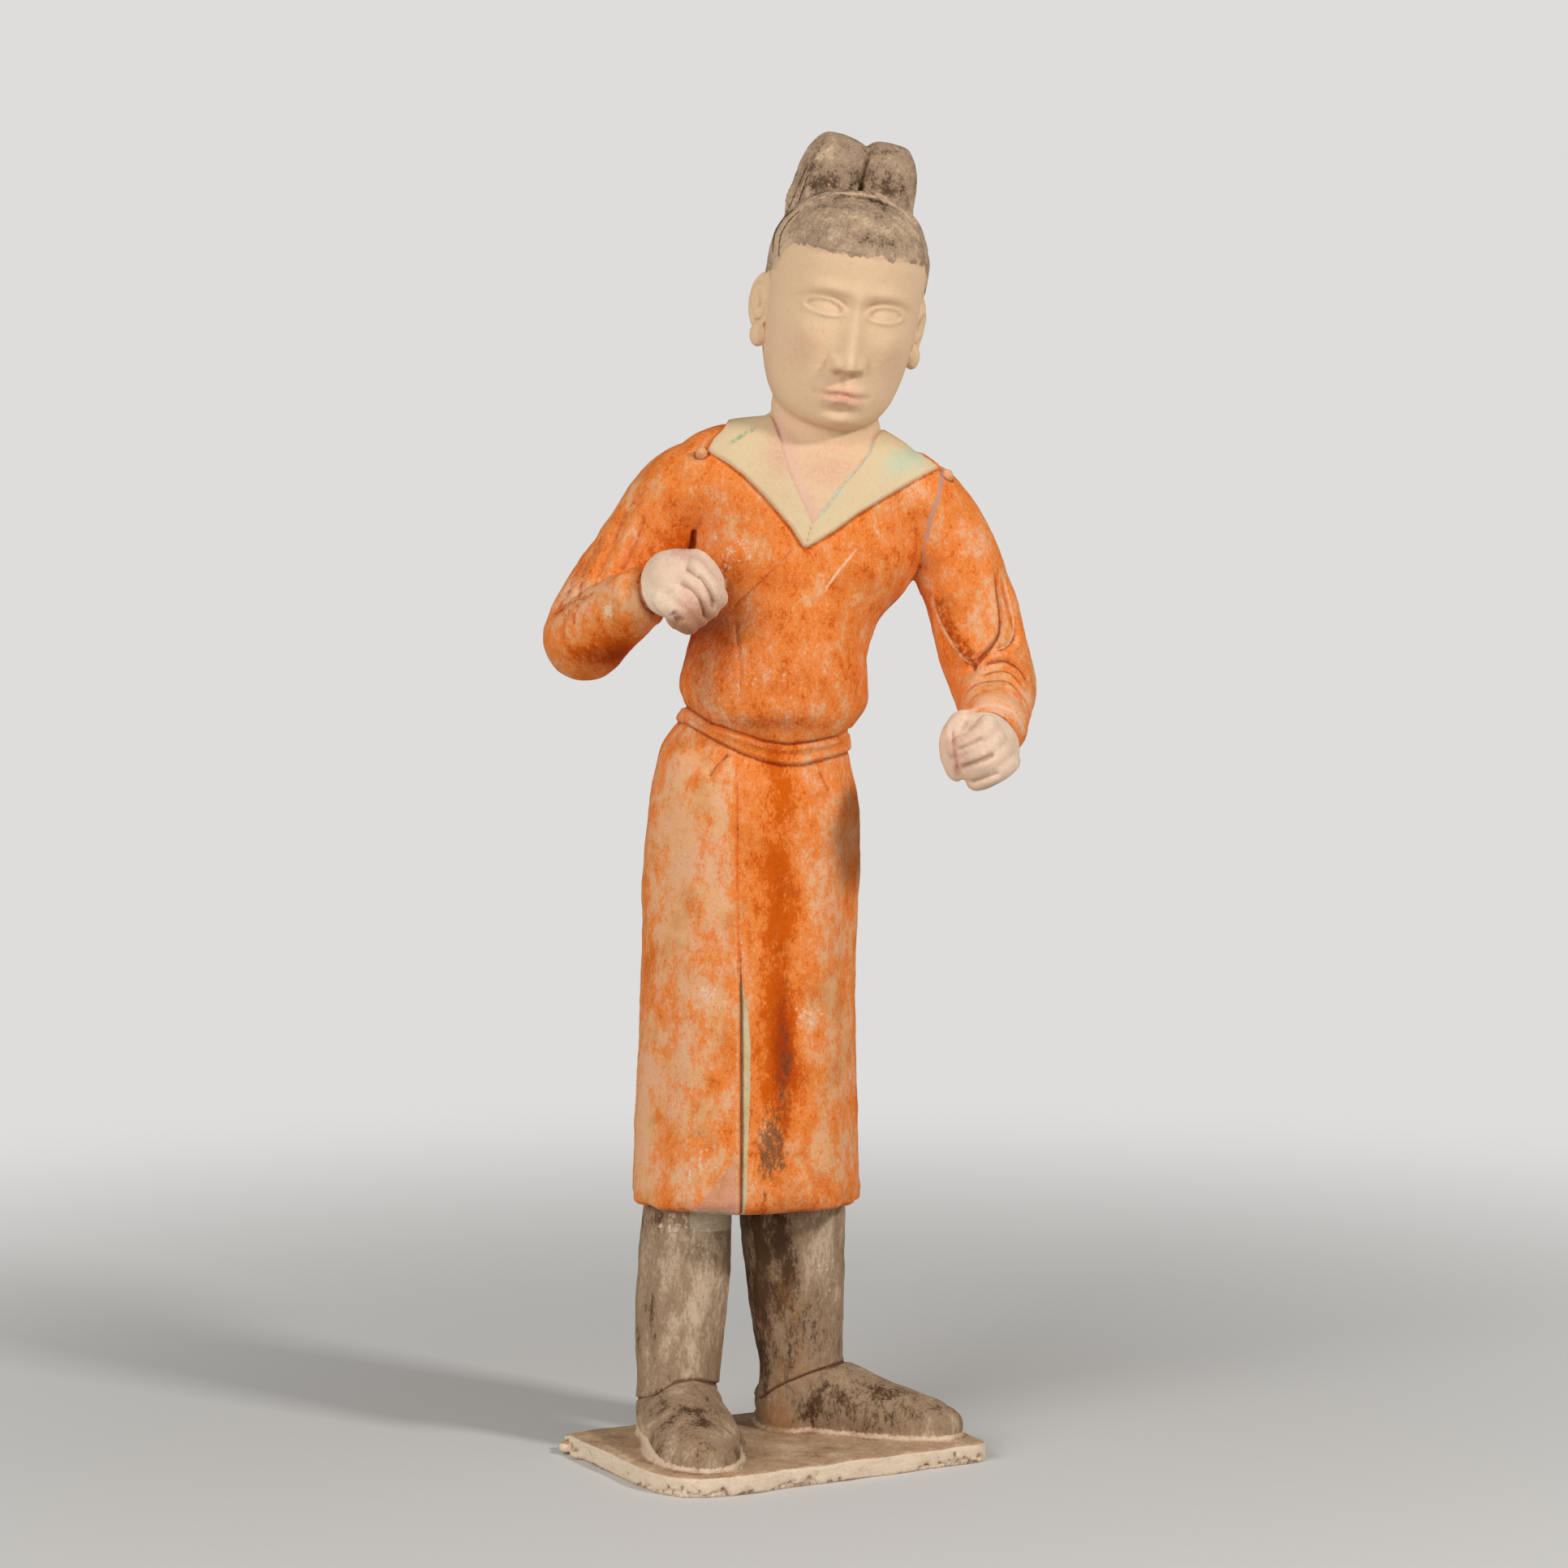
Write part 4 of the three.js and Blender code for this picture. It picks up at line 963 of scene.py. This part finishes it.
def in_front(outline, low, high):
    """How far inside an outline the places in front between two heights show."""
    inside = np.full(len(z), -20.0)
    close = np.flatnonzero((s.at[:, 1] < 8) & (z > low) & (z < high))
    inside[close] = inside_outline(s.shown[close], outline)
    return inside


neck_reach = 29 - np.hypot(*(s.at[:, :2] - NECK_AXIS).T)
flesh = np.maximum(np.maximum(z - 514, np.minimum(neck_reach, z - 507)), in_front(V_NECK, 440, 530))
ears = bump(np.abs(x) - 41, 7) * bump(y - 3, 13) * bump(tall + 6, 22)
hair = np.where(z > 530, hairline(s.head) - 30 * smoothly(ears, 0.15, 0.5), -20)
flare = 14 * bump(s.shown[:, 0] + 66, 9) * bump(s.at[:, 1] + 20, 30)
button = np.max([3.6 - np.linalg.norm(s.at - at, axis=1) for at in BUTTONS], 0)
plate_edge = np.where(z < 11.3, 5 * (0.72 - np.abs(s.out[:, 2])), -20)
slip = np.minimum(z - 10.7, 20 - z)
AREAS = [  # name, how far inside it each place is, its three tones, and the rest in the order above
    ("edge", plate_edge, (228, 206, 180), (200, 168, 136), (240, 222, 200), 7, 0.9, 0.5, 0.5, 4),
    ("slip", slip, (226, 200, 172), (204, 170, 140), (236, 216, 190), 9, 0.7, 0.4, 0.5, 1),
    ("boots", np.minimum(z - 12.6 - flare, 127 - z), (158, 131, 104), (84, 60, 41), (206, 182, 154),
        11, 1.1, 1.0, 0.6, 0.4),
    ("coat", z - 127.4, (236, 133, 60), (210, 92, 2), (231, 174, 132), 10, 1.4, 0.6, 0.4, 0.6),
    ("flesh", flesh, (228, 193, 156), (222, 178, 150), (222, 190, 148), 22, 0.6, 0.4, 0.4, 1),
    ("hair", hair, (166, 140, 115), (88, 68, 51), (206, 176, 144), 8, 1.2, 3.0, 0.4, 1),
    ("lapels", in_lapels(s), (222, 196, 156), (198, 206, 174), (210, 182, 142), 20, 0.5, 0.3, 0.35, 1),
    ("hands", past_cuffs(s) - 0.4, (230, 198, 172), (210, 168, 148), (240, 218, 190), 10, 0.8, 0.4, 0.4, 1),
    ("button", button, (224, 158, 112), (214, 140, 90), (232, 186, 150), 5, 0.8, 0.2, 0.3, 1),
    ("lining", in_lining(s), (206, 194, 160), (178, 164, 124), (220, 208, 176), 12, 0.6, 0.3, 0.3, 0.3),
    ("mended", in_front(HEM_REPAIR, 118, 165), (214, 152, 126), (203, 140, 114), (220, 165, 140),
        20, 0.4, 0.2, 0.2, 1),
    ("bound", in_front(BOOT_REPAIR, 108, 130), (192, 172, 146), (150, 128, 102), (218, 202, 180),
        5, 1.2, 0.4, 0.3, 8),
]
PLATE_PAINT = (184, 151, 118), (150, 116, 86), (212, 184, 152)

# Wear and painted shade
# Where the paint is worn to buff (above 0) or lies deep and strong (below 0), where grime and soot darken it,
# where pink shows, and where shade and shadow are painted: soft ellipses as they show from the front, each
# with its place, its half sizes and its amount.
COAT_TONES = [
    (-46, 471, 16, 20, -0.1), (-13, 451, 9, 7, 0.6), (-36, 398, 9, 30, 0.35), (5, 413, 25, 30, -0.15),
    # (-48, 452, ..., -1.0): painted shade in the right armpit, beside its slot.
    (0, 366, 22, 8, 0.3), (-48, 452, 8, 11, -1.0), (56, 445, 18, 16, -0.25), (-27, 471, 15, 15, 0.2),
    (-51.6, 290, 12, 55, 0.9), (-41, 300, 14, 48, 0.6), (-27, 296, 9, 45, 0.5), (-59, 220, 10, 30, 0.1),
    (-34, 228, 7, 7, 0.8), (-39, 142, 12, 10, 0.8), (-67, 165, 6, 38, 1.3), (1, 335, 9, 30, -0.8),
    (1, 270, 8, 40, -1.1), (2, 230, 7, 22, -0.6), (2, 190, 8, 45, -1.3), (-11, 300, 6, 40, -0.4),
    (-9, 190, 5, 40, -0.7), (12.5, 219, 6, 8, 0.5), (27, 280, 14, 70, 0.45), (22, 148, 18, 14, 0.5),
    (30, 190, 12, 40, 0.4), (-5, 156, 8, 16, 0.3), (-44, 190, 20, 40, 0.6), (-75, 480, 12, 14, 0.3),
    # (-80, 399, ..., -1.3): darker under the right forearm, partly its paint and partly painted shade.
    (-101, 424, 12, 8, 0.6), (-78, 425, 24, 9, 1.0), (-109, 400, 8, 10, 0.3), (-80, 399, 24, 7, -1.3),
    # (84, 408, ..., -0.5): painted shade inside the fold of the left sleeve.
    (106, 376, 18, 18, 0.9), (110, 424, 5, 20, 0.6), (84, 408, 6, 16, -0.5), (96, 440, 14, 24, 0.2),
    (60, 478, 8, 12, 0.2),
]
BOOT_TONES = [
    (-44, 96, 14, 20, 0.7), (-47, 53, 8, 18, 0.7), (-30, 90, 5, 20, 0.4), (-63, 80, 6, 40, -0.2),
    # (-9, 88) and (5, 100): the painted shadow that the right leg casts on the inner side of the left boot.
    (-60, 119, 8, 6, -0.4), (-9, 88, 7, 60, -1.1), (5, 100, 6, 26, -1.0), (20, 104, 7, 26, 0.5),
    (14, 66, 16, 26, -0.35), (24, 26, 12, 9, -0.5), (53, 36, 8, 4, -0.5), (61, 18, 9, 6, -0.5),
    (-42, 22, 18, 12, -0.5), (45, 26, 34, 14, -0.45), (-25, 12, 4, 5, 0.7), (0, 26, 10, 8, 0.2),
]
HAIR_TONES = [
    (29, 630, 12, 10, -0.5), (54, 622, 10, 9, -0.55), (36, 624, 14, 4, -0.3), (20, 603, 14, 7, -0.1),
    (45, 599, 14, 7, -0.4), (54, 605, 8, 6, 0.4), (64, 600, 5, 16, 0.5), (1, 597, 5, 13, 2.4),
    (6, 618, 5, 12, 0.5), (22, 640, 5, 3, 0.6), (30, 604, 26, 10, 0.3), (18, 620, 8, 10, -0.3),
    (60, 632, 6, 14, -0.2),
]
LAPEL_TONES = [(62, 491, 13, 8, -1.0), (31, 478, 5, 6, -0.5)]
# Grime with painted shade under the right forearm (-80, 397); painted shade under the belly (-2, 364), under
# the hem at (-40, 124) and (12, 126), and in the right fist's hole (-48, 410).
GRIME_AND_SHADE = [
    (-37, 393, 8, 28, 0.7), (-40, 416, 12, 9, 0.5), (-25, 404, 6, 22, 0.4), (-80, 397, 24, 6, 0.9),
    (2, 200, 6, 36, 0.95), (0, 275, 5, 36, 0.25), (-2, 364, 26, 4, 0.8), (-62, 235, 7, 25, 0.25),
    (-40, 124, 40, 4, 0.4), (12, 126, 26, 4, 0.5), (-48, 410, 9, 6, 0.9), (40, 447, 6, 7, 0.2),
    (24, 486, 18, 12, 0.15), (0, 384, 40, 15, 0.3), (-4, 412, 28, 22, 0.2), (-28, 470, 9, 12, 0.15),
]
# Painted shadow of the right leg down the figure's left boot at (-7, 86) and (6, 108); painted shade in the
# right fist's hole at (-50, 415.5) and (-48, 408); soot with painted shade under the right forearm (-82,
# 392).
SOOT_AND_SHADE = [
    (-50, 415.5, 3, 2, 0.8), (3, 197, 5, 26, 0.75), (-4, 157, 8, 20, 0.8), (4, 148, 7, 12, 0.35),
    (3, 240, 4, 22, 0.4), (-33.5, 229, 5, 5, 0.45), (-28, 238, 3, 3, 0.7), (-60, 165, 5, 20, 0.25),
    (-37, 390, 5, 20, 0.15), (2, 290, 4, 30, 0.3), (-60, 119, 9, 6, 0.6), (-7, 86, 6, 54, 0.8),
    (6, 108, 6, 15, 0.65), (-37, 160, 4, 4, 0.5), (-82, 392, 20, 4, 0.5), (21, 27, 10, 5, 0.4),
    (60, 17, 6, 4, 0.5), (-48, 408, 8, 5, 0.5),
]
# (0, 497): painted shade along the inner edge of the figure's right lapel, over the chest.
ROSY_AND_SHADE = [
    (0, 497, 7, 13, 0.6), (24, 488, 15, 9, 0.4), (-44, 425, 8, 10, 0.35), (90, 350, 6, 12, 0.4),
    (103, 356, 8, 8, 0.2),
]
STAINS = [
    (-2, 22, 9, 12, 0.7), (8, 15, 10, 5, 0.3), (4, 70, 14, 36, 0.4), (12, 44, 14, 6, 0.4),
    (-44, 12, 16, 5, 0.25),
]
FLECKED = [
    (-16, 450, 12, 9, 0.75), (-30.5, 454, 4, 4, 0.7), (-25, 442, 5, 6, 0.7), (-31, 384, 4, 4, 0.8),
    (-14, 384, 5, 4, 0.7), (2, 388, 12, 6, 0.6), (-10, 410, 22, 26, 0.35), (-33.7, 229, 7, 7, 0.9),
    (12.5, 219, 6, 7, 0.6), (-83, 418, 2.4, 6, 1.2), (-90, 420, 14, 8, 0.5), (-42, 145, 16, 14, 0.7),
    (28, 146, 20, 12, 0.55), (-50, 300, 14, 60, 0.45), (20, 230, 16, 70, 0.4), (-8, 160, 8, 22, 0.6),
    (-30, 190, 20, 40, 0.4), (-53, 117, 16, 8, 0.8), (-33, 104, 10, 20, 0.6), (24, 96, 8, 26, 0.5),
    (-44, 70, 14, 40, 0.35), (14, 60, 14, 40, 0.3), (35, 626, 26, 14, 0.45), (40, 598, 24, 10, 0.35),
    (56, 34, 14, 6, 0.4),
]


def patches(table):
    """The sum of soft ellipses, each amount * exp(-(x / wide)^2 - (z / high)^2), on what faces the front."""
    total = np.zeros(len(s.at))
    for middle, height, wide, high, amount in table:
        total += amount * bump(s.shown[:, 0] - middle, wide) * bump(s.shown[:, 1] - height, high)
    return total * smoothly(s.facing, -0.2, 0.35)


tone = np.where(z > 127, patches(COAT_TONES), patches(BOOT_TONES))
tone = np.where(hair > -3, patches(HAIR_TONES), tone)
tone = np.where(in_lapels(s) > -0.5, patches(LAPEL_TONES), tone)
tone = np.where((flesh > 0) & (hair < -3), 0, tone)
lips = np.clip(1 - (x / 12.2) ** 2, 0, 1) * bump(tall - MOUTH, 3.6) * (y < -20)
cheeks = 0.25 * bump(np.abs(x) - 22, 8) * bump(tall + 20, 9) * (y < -10)
for name, inside, *_ in AREAS:
    keep("in_" + name, inside)
keep("tone", tone)
keep("grime_and_shade", patches(GRIME_AND_SHADE) * (in_lapels(s) < 0))
keep("soot_and_shade", patches(SOOT_AND_SHADE) + 0.5 * chipped(s))
keep("flecked", patches(FLECKED))
# Skin, hands and lapels are mostly spared the hollows' dirt and painted shade, but the ears are not.
bare_skin = [smoothly(flesh, -2, 0), 0.7 * smoothly(past_cuffs(s), -1, 1)]
spared = np.max([*bare_skin, smoothly(in_lapels(s), -1.2, -0.2)], 0)
keep("spared", spared * (1 - 0.9 * smoothly(ears, 0.1, 0.4)))
keep("cloth", np.min([z - 127.4, -flesh, -hair, -in_lapels(s), -past_cuffs(s), 509 - z], 0))
keep("rosy_and_shade", 0.9 * lips + cheeks + patches(ROSY_AND_SHADE))
keep("stain", patches(STAINS) * (z < 90))

# Thin lines
# Scratches, and traces of paint and slip along the lapels, seams and creases, with painted shade and painted
# highlights along some folds and edges: each is a curved line as it shows from the front, with its half
# width, its colour and how much of it is left.
CREASE = (204, 106, 54)  # paint and dirt left deep in the right sleeve's creases, and painted shade in them
TRACES = [
    ("torso", [(23, 429.2), (29.4, 438.1), (39.3, 450)], 0.5, (240, 192, 152), 0.8),
    ("left arm", [(80, 489), (78.9, 477.2), (74.9, 465.8), (72.5, 455.9), (70.6, 450.7), (70.6, 438)],
        1.0, (190, 142, 124), 0.9),
    ("torso", [*LAPELS[1][14:9:-1], (47, 502)], 0.8, (192, 206, 190), 0.5),
    # Painted shade along the inner edge of the figure's right lapel, over the chest.
    ("torso", [(-3, 512), (2.6, 503), (7.6, 487.4), (12.3, 476.1), (17.6, 463)], 2.6, (222, 183, 160), 0.7),
    ("torso", [(-24, 500), (-17, 504.5), (-11, 508)], 0.9, (158, 172, 136), 0.5),
    ("torso", SLIT[:4], 0.6, (232, 104, 34), 0.55),
    # Painted shade inside the fold of the left sleeve.
    ("left arm", [(78.5, 426), (80.5, 418), (85.5, 408), (92, 399), (97, 395.5)], 3.0, (176, 76, 14), 0.6),
    # Painted highlights along the two edges of the left sleeve's fold.
    ("left arm", [(74.6, 427), (77, 418.5), (82.3, 407.2), (89.6, 396.8), (95, 392.9)],
        0.6, (236, 180, 134), 0.7),
    ("left arm", [(109.6, 436), (112.9, 424), (115, 412), (112.6, 403), (105, 399.4)],
        0.45, (236, 180, 134), 0.8),
    ("left arm", [(91.8, 366.2), (96.4, 370.9), (103.8, 372.7), (112.2, 370.9), (117.8, 365.3),
        (121, 357.9)], 0.7, (232, 184, 154), 0.7),
    ("left arm", [(85.7, 360.6), (86.3, 350.3), (88.1, 341.1)], 0.7, (206, 152, 140), 0.7),
    ("torso", [(-33, 362.5), (-20.3, 358.5), (-7.5, 354.7)], 0.5, (236, 110, 36), 0.7),
    ("hair", [(0.4, 591), (1.5, 601.5), (5.2, 609.9), (11.5, 616.1), (18.9, 620.3), (27.3, 621.9),
        (35.7, 621.4), (45.1, 620.3), (53.6, 617.2), (60.9, 612.5), (66.2, 606.7)], 0.4, (204, 178, 148),
        0.6),
    ("hair", [(-2.8, 593), (-1.5, 602.8), (2.3, 609.2), (8, 614.4)], 0.35, (84, 62, 46), 0.9),
    ("hair", [(0.2, 590.2), (1, 600.3), (4.9, 608), (10.6, 613)], 0.3, (104, 80, 60), 0.8),
    ("topknot", [(3.5, 611), (7.2, 619), (11, 628), (14.5, 636)], 0.3, (84, 64, 48), 0.75),
    ("topknot", [(7.5, 611), (11.2, 621), (14.4, 630.5)], 0.3, (84, 64, 48), 0.7),
    ("topknot", [(19, 637.5), (22, 640.5), (26.7, 644.3)], 0.8, (214, 192, 162), 0.6),
    ("foot", [(45, 46.5), (50, 44.5), (55, 42)], 0.5, (236, 220, 196), 0.8),
    # Dirt and painted shade along the right sleeve's creases.
    *[("right arm", line, 0.7, CREASE, 0.5) for line, *_ in SCORED["right arm"]],
]
for i, (region, line, *_) in enumerate(TRACES):
    beside, left = np.full(len(z), 20.0), np.zeros(len(z))
    close = near(s, region, line, 6)
    away, side, share = from_line(s.shown[close], line)
    beside[close] = away * side
    left[close] = smoothly(away, 5, 3) * smoothly(np.minimum(share, 1 - share), 0, 0.08)
    keep(f"beside_{i}", beside)
    keep(f"left_{i}", left)

# Paint
# One material for the whole figure, since it was painted as a whole: every area's pigment, then grime and
# painted shade in the hollows, paler worn ridges with a painted highlight, soot, painted shadow, pink, fine
# flecks and scratches, all matt. Fine grains and pits roughen it.
paint = bpy.data.materials.new("painted_terracotta")
paint.use_nodes = True
tree = paint.node_tree
surface = tree.nodes["Principled BSDF"]


def pigment(red, green, blue):
    """A colour given from 0 to 255 on a screen, as the linear light that a shader takes."""
    share = np.array([red, green, blue]) / 255
    return (*np.where(share <= 0.04045, share / 12.92, ((share + 0.055) / 1.055) ** 2.4), 1.0)


def add(kind, inputs, output=0, **settings):
    """Adds a shader node with its settings and inputs, and gives one of its outputs. An input that is another
    node's output is joined to it."""
    made = tree.nodes.new("ShaderNode" + kind)
    for key, value in settings.items():
        setattr(made, key, value)
    for key, value in inputs.items():
        if isinstance(value, bpy.types.NodeSocket):
            tree.links.new(value, made.inputs[key])
        else:
            made.inputs[key].default_value = value
    return made.outputs[output]


def felt(name):
    """What keep() kept under a name."""
    return add("Attribute", {}, 2, attribute_name=name)


def sums(operation, *values):
    """A sum of up to three values; MULTIPLY_ADD gives the first times the second plus the third."""
    return add("Math", dict(enumerate(values)), operation=operation)


def ranged(value, low, high, bottom, top, **settings):
    """bottom at low and top at high, and in a straight line between unless the settings say otherwise."""
    ends = {"Value": value, "From Min": low, "From Max": high, "To Min": bottom, "To Max": top}
    return add("MapRange", ends, **settings)


def band(value, low, high, top=1.0):
    """0 at low, top at high, and a smooth step between."""
    bottom = 0.0
    if low > high:
        low, high, bottom, top = high, low, top, 0.0
    return ranged(value, low, high, bottom, top, interpolation_type="SMOOTHSTEP")


def mixed(share, first, second, blend="MIX"):
    """The first colour, gone over to the second, or multiplied by it, as far as share says."""
    return add("Mix", {0: share, 6: first, 7: second}, 2, data_type="RGBA", blend_type=blend)


PLACE = add("TexCoord", {}, 3)


def grain(size, detail=4.0, upright=1.0, shift=0.0, rough=0.6):
    """Cloudy noise from -1 to 1, of a size in millimetres, drawn out upright where upright is below 1."""
    place = add("Mapping", {"Vector": PLACE, "Scale": (1, 1, upright), "Location": (shift, shift, shift)})
    looks = {"Scale": 1 / (size * MM), "Detail": detail, "Roughness": rough}
    return ranged(add("TexNoise", {"Vector": place, **looks}), 0.3, 0.7, -1.0, 1.0)


def mottled(main, strong, worn, size, contrast, upright):
    """A paint's full tone, going to its strong tone where the tone is below 0 and its worn tone where it is
    above."""
    clouds = grain(size, 8, upright, size, 0.75)
    crumbs = grain(size / 8, 7, upright, size + 1, 0.75)
    level = sums("MULTIPLY_ADD", clouds, contrast * 0.5, sums("MULTIPLY", felt("tone"), 0.6))
    level = sums("MULTIPLY_ADD", crumbs, contrast * 0.27, level)
    shade = mixed(band(level, -0.05, 0.6), pigment(*main), pigment(*worn))
    return mixed(band(level, -0.1, -0.6), shade, pigment(*strong))


def laid(share, tint, blend="MIX"):
    """The colour so far with a tint laid over it, or multiplied into it, as far as share says."""
    return mixed(share, colour, pigment(*tint), blend)


colour = mottled(*PLATE_PAINT, 15, 1.3, 1)
for name, _, main, strong, worn, size, contrast, wobble, soft_edge, upright in AREAS:
    ragged = sums("MULTIPLY_ADD", grain(max(wobble, 0.8) * 2.2, 5), wobble * 0.7, felt("in_" + name))
    share = band(ragged, -soft_edge, soft_edge)
    colour = mixed(share, colour, mottled(main, strong, worn, size, contrast, upright))

fine, coarse, broad = grain(0.6, 3), grain(2.2, 6, rough=0.7), grain(20, 3)
cloth = band(felt("cloth"), 0, 1)
# How much dirt, painted shade in the hollows, dark grains and pits show: less on skin, hands and lapels.
soiled = sums("MULTIPLY_ADD", felt("spared"), -0.75, 1.0)
yellow = sums("MULTIPLY", band(broad, -0.5, 0.5, 0.6), cloth)
colour = laid(yellow, (255, 246, 200), "MULTIPLY")
flecks = band(sums("MULTIPLY_ADD", grain(2.6, 7, 0.8, 3.0, 0.72), 0.9, felt("flecked")), 0.95, 1.15, 0.8)
colour = laid(flecks, (234, 206, 176))
dark = sums("MULTIPLY", band(grain(1.8, 7, 1, 5.0, 0.8), 0.15, 0.6), band(felt("in_hair"), 1, 3, 0.6))
colour = laid(dark, (92, 72, 55))
stain = band(sums("MULTIPLY_ADD", grain(4, 7, 0.4, 6.0, 0.75), 0.45, felt("stain")), 0.15, 0.9, 0.75)
colour = laid(stain, (160, 112, 70))
# Grime, and painted shade under the forearm, belly and hem and in the fist's hole.
grime_and_shade = band(sums("MULTIPLY_ADD", coarse, 0.25, felt("grime_and_shade")), 0.0, 1.0, 0.85)
colour = laid(grime_and_shade, (196, 152, 122), "MULTIPLY")
film = sums("MULTIPLY", band(broad, 0.0, 0.9, 0.35), cloth)
colour = laid(film, (214, 184, 160), "MULTIPLY")
# Darker in the hollows: dirt there, and painted shade in creases, recesses and the ears.
dirt_and_shade = band(sums("MULTIPLY_ADD", felt("hollow"), 2.4, sums("MULTIPLY", coarse, 0.25)), 0.3, 1.5, 0.75)
colour = laid(sums("MULTIPLY", dirt_and_shade, soiled), (160, 108, 78), "MULTIPLY")
# Paler on the ridges: paint worn through to the slip, and a painted highlight.
bare = band(sums("MULTIPLY_ADD", felt("hollow"), -2.0, coarse), 0.9, 1.8, 0.3)
colour = laid(bare, (236, 196, 158))
# Soot, and painted shadow and shade: on the left boot, in the fist's hole and under the forearm.
soot_and_shade = band(sums("MULTIPLY_ADD", grain(2.4, 8, 0.6, rough=0.8), 0.6, felt("soot_and_shade")), 0.45, 0.95, 0.8)
colour = laid(soot_and_shade, (92, 64, 42))
# Pink on the lips and cheeks, with a little painted shade on the chest.
rosy_and_shade = sums("MULTIPLY", felt("rosy_and_shade"), band(grain(2.5, 5, rough=0.7), -1.2, 0.5))
colour = laid(rosy_and_shade, (214, 146, 126))
thin_paint = sums("MULTIPLY", cloth, band(felt("tone"), -0.9, -0.1))
pale_grains = sums("MULTIPLY", band(grain(0.9, 4, 1, 2.0, 0.7), 0.1, 0.9, 0.3), thin_paint)
colour = laid(pale_grains, (244, 196, 148))
dark_grains = sums("MULTIPLY", band(grain(1.2, 5, 1, 4.0, 0.7), 0.1, 0.9, 0.25), soiled)
colour = laid(dark_grains, (150, 110, 80), "MULTIPLY")
scuffs = sums("MULTIPLY", band(grain(1.8, 3, 1, 3.0), 0.95, 1.1, 0.35), band(felt("tone"), -0.9, -0.1))
colour = laid(scuffs, (238, 214, 186))
pits = sums("MULTIPLY", band(grain(1.6, 2, 1, 7.0), 0.98, 1.1, 0.65), soiled)
colour = laid(pits, (100, 62, 38))
for i, (_, _, half, tint, amount) in enumerate(TRACES):
    spread = sums("ABSOLUTE", sums("MULTIPLY_ADD", coarse, 0.3, felt(f"beside_{i}")))
    broken = band(grain(2.5, 4, shift=i), 0.6 - 2.4 * amount, 1.2 - 1.2 * amount)
    line = sums("MULTIPLY", band(spread, 1.5 * half + 0.1, 0.6 * half), felt(f"left_{i}"))
    colour = laid(sums("MULTIPLY", line, broken), tint)
tree.links.new(colour, surface.inputs["Base Color"])
tree.links.new(ranged(coarse, -1.0, 1.0, 0.72, 0.95), surface.inputs["Roughness"])
surface.inputs["Specular IOR Level"].default_value = 0.12
height = sums("MULTIPLY_ADD", fine, 0.03, sums("MULTIPLY", coarse, 0.07))
height = sums("MULTIPLY_ADD", pits, -0.25, height)
tree.links.new(add("Bump", {"Strength": 1.0, "Distance": MM, "Height": height}), surface.inputs["Normal"])
body.data.materials.clear()
body.data.materials.append(paint)

# Studio
# A plain pale floor that fades into a pale room, a small key light from the right, and a large soft one from
# the left.
scene = bpy.context.scene
BACKDROP = pigment(222, 221, 219)
floor_mesh = bpy.data.meshes.new("floor")
floor_mesh.from_pydata([(-9, -9, 0), (9, -9, 0), (9, 9, 0), (-9, 9, 0)], [], [(0, 1, 2, 3)])
floor = bpy.data.objects.new("floor", floor_mesh)
scene.collection.objects.link(floor)
floor_paint = bpy.data.materials.new("pale_floor")
floor_paint.use_nodes = True
tree = floor_paint.node_tree
board = tree.nodes["Principled BSDF"]
board.inputs["Base Color"].default_value = pigment(214, 212, 208)
board.inputs["Roughness"].default_value = 0.9
reach = add("VectorMath", {0: add("TexCoord", {}, 3)}, 1, operation="LENGTH")
dimmed = ranged(add("LightPath", {}), 0.0, 1.0, 0.45, 1.0)
glow = add("Emission", {"Color": BACKDROP, "Strength": dimmed})
floor_mix = add("MixShader", {0: band(reach, 0.2, 1.3), 1: board.outputs[0], 2: glow})
tree.links.new(floor_mix, tree.nodes["Material Output"].inputs["Surface"])
floor_mesh.materials.append(floor_paint)

world = bpy.data.worlds.new("studio")
scene.world = world
world.use_nodes = True
tree = world.node_tree
room = tree.nodes["Background"]
room.inputs["Color"].default_value = BACKDROP
tree.links.new(ranged(add("LightPath", {}), 0.0, 1.0, 0.33, 1.0), room.inputs["Strength"])
scene.view_settings.view_transform = "Standard"


def area_light(name, place, aim, size, energy):
    """A square soft light at a place, turned to what it aims at."""
    lamp = bpy.data.lights.new(name, "AREA")
    lamp.size, lamp.energy = size, energy
    light = bpy.data.objects.new(name, lamp)
    way = np.subtract(aim, place)
    light.location = place
    light.rotation_euler = (np.arccos(-way[2] / np.linalg.norm(way)), 0, np.arctan2(-way[0], way[1]))
    scene.collection.objects.link(light)


area_light("key", (1.25, -0.95, 1.25), (0, 0, 0.35), 0.22, 18)
area_light("fill", (-1.2, -1.6, 1.1), (0, 0, 0.33), 1.3, 28)
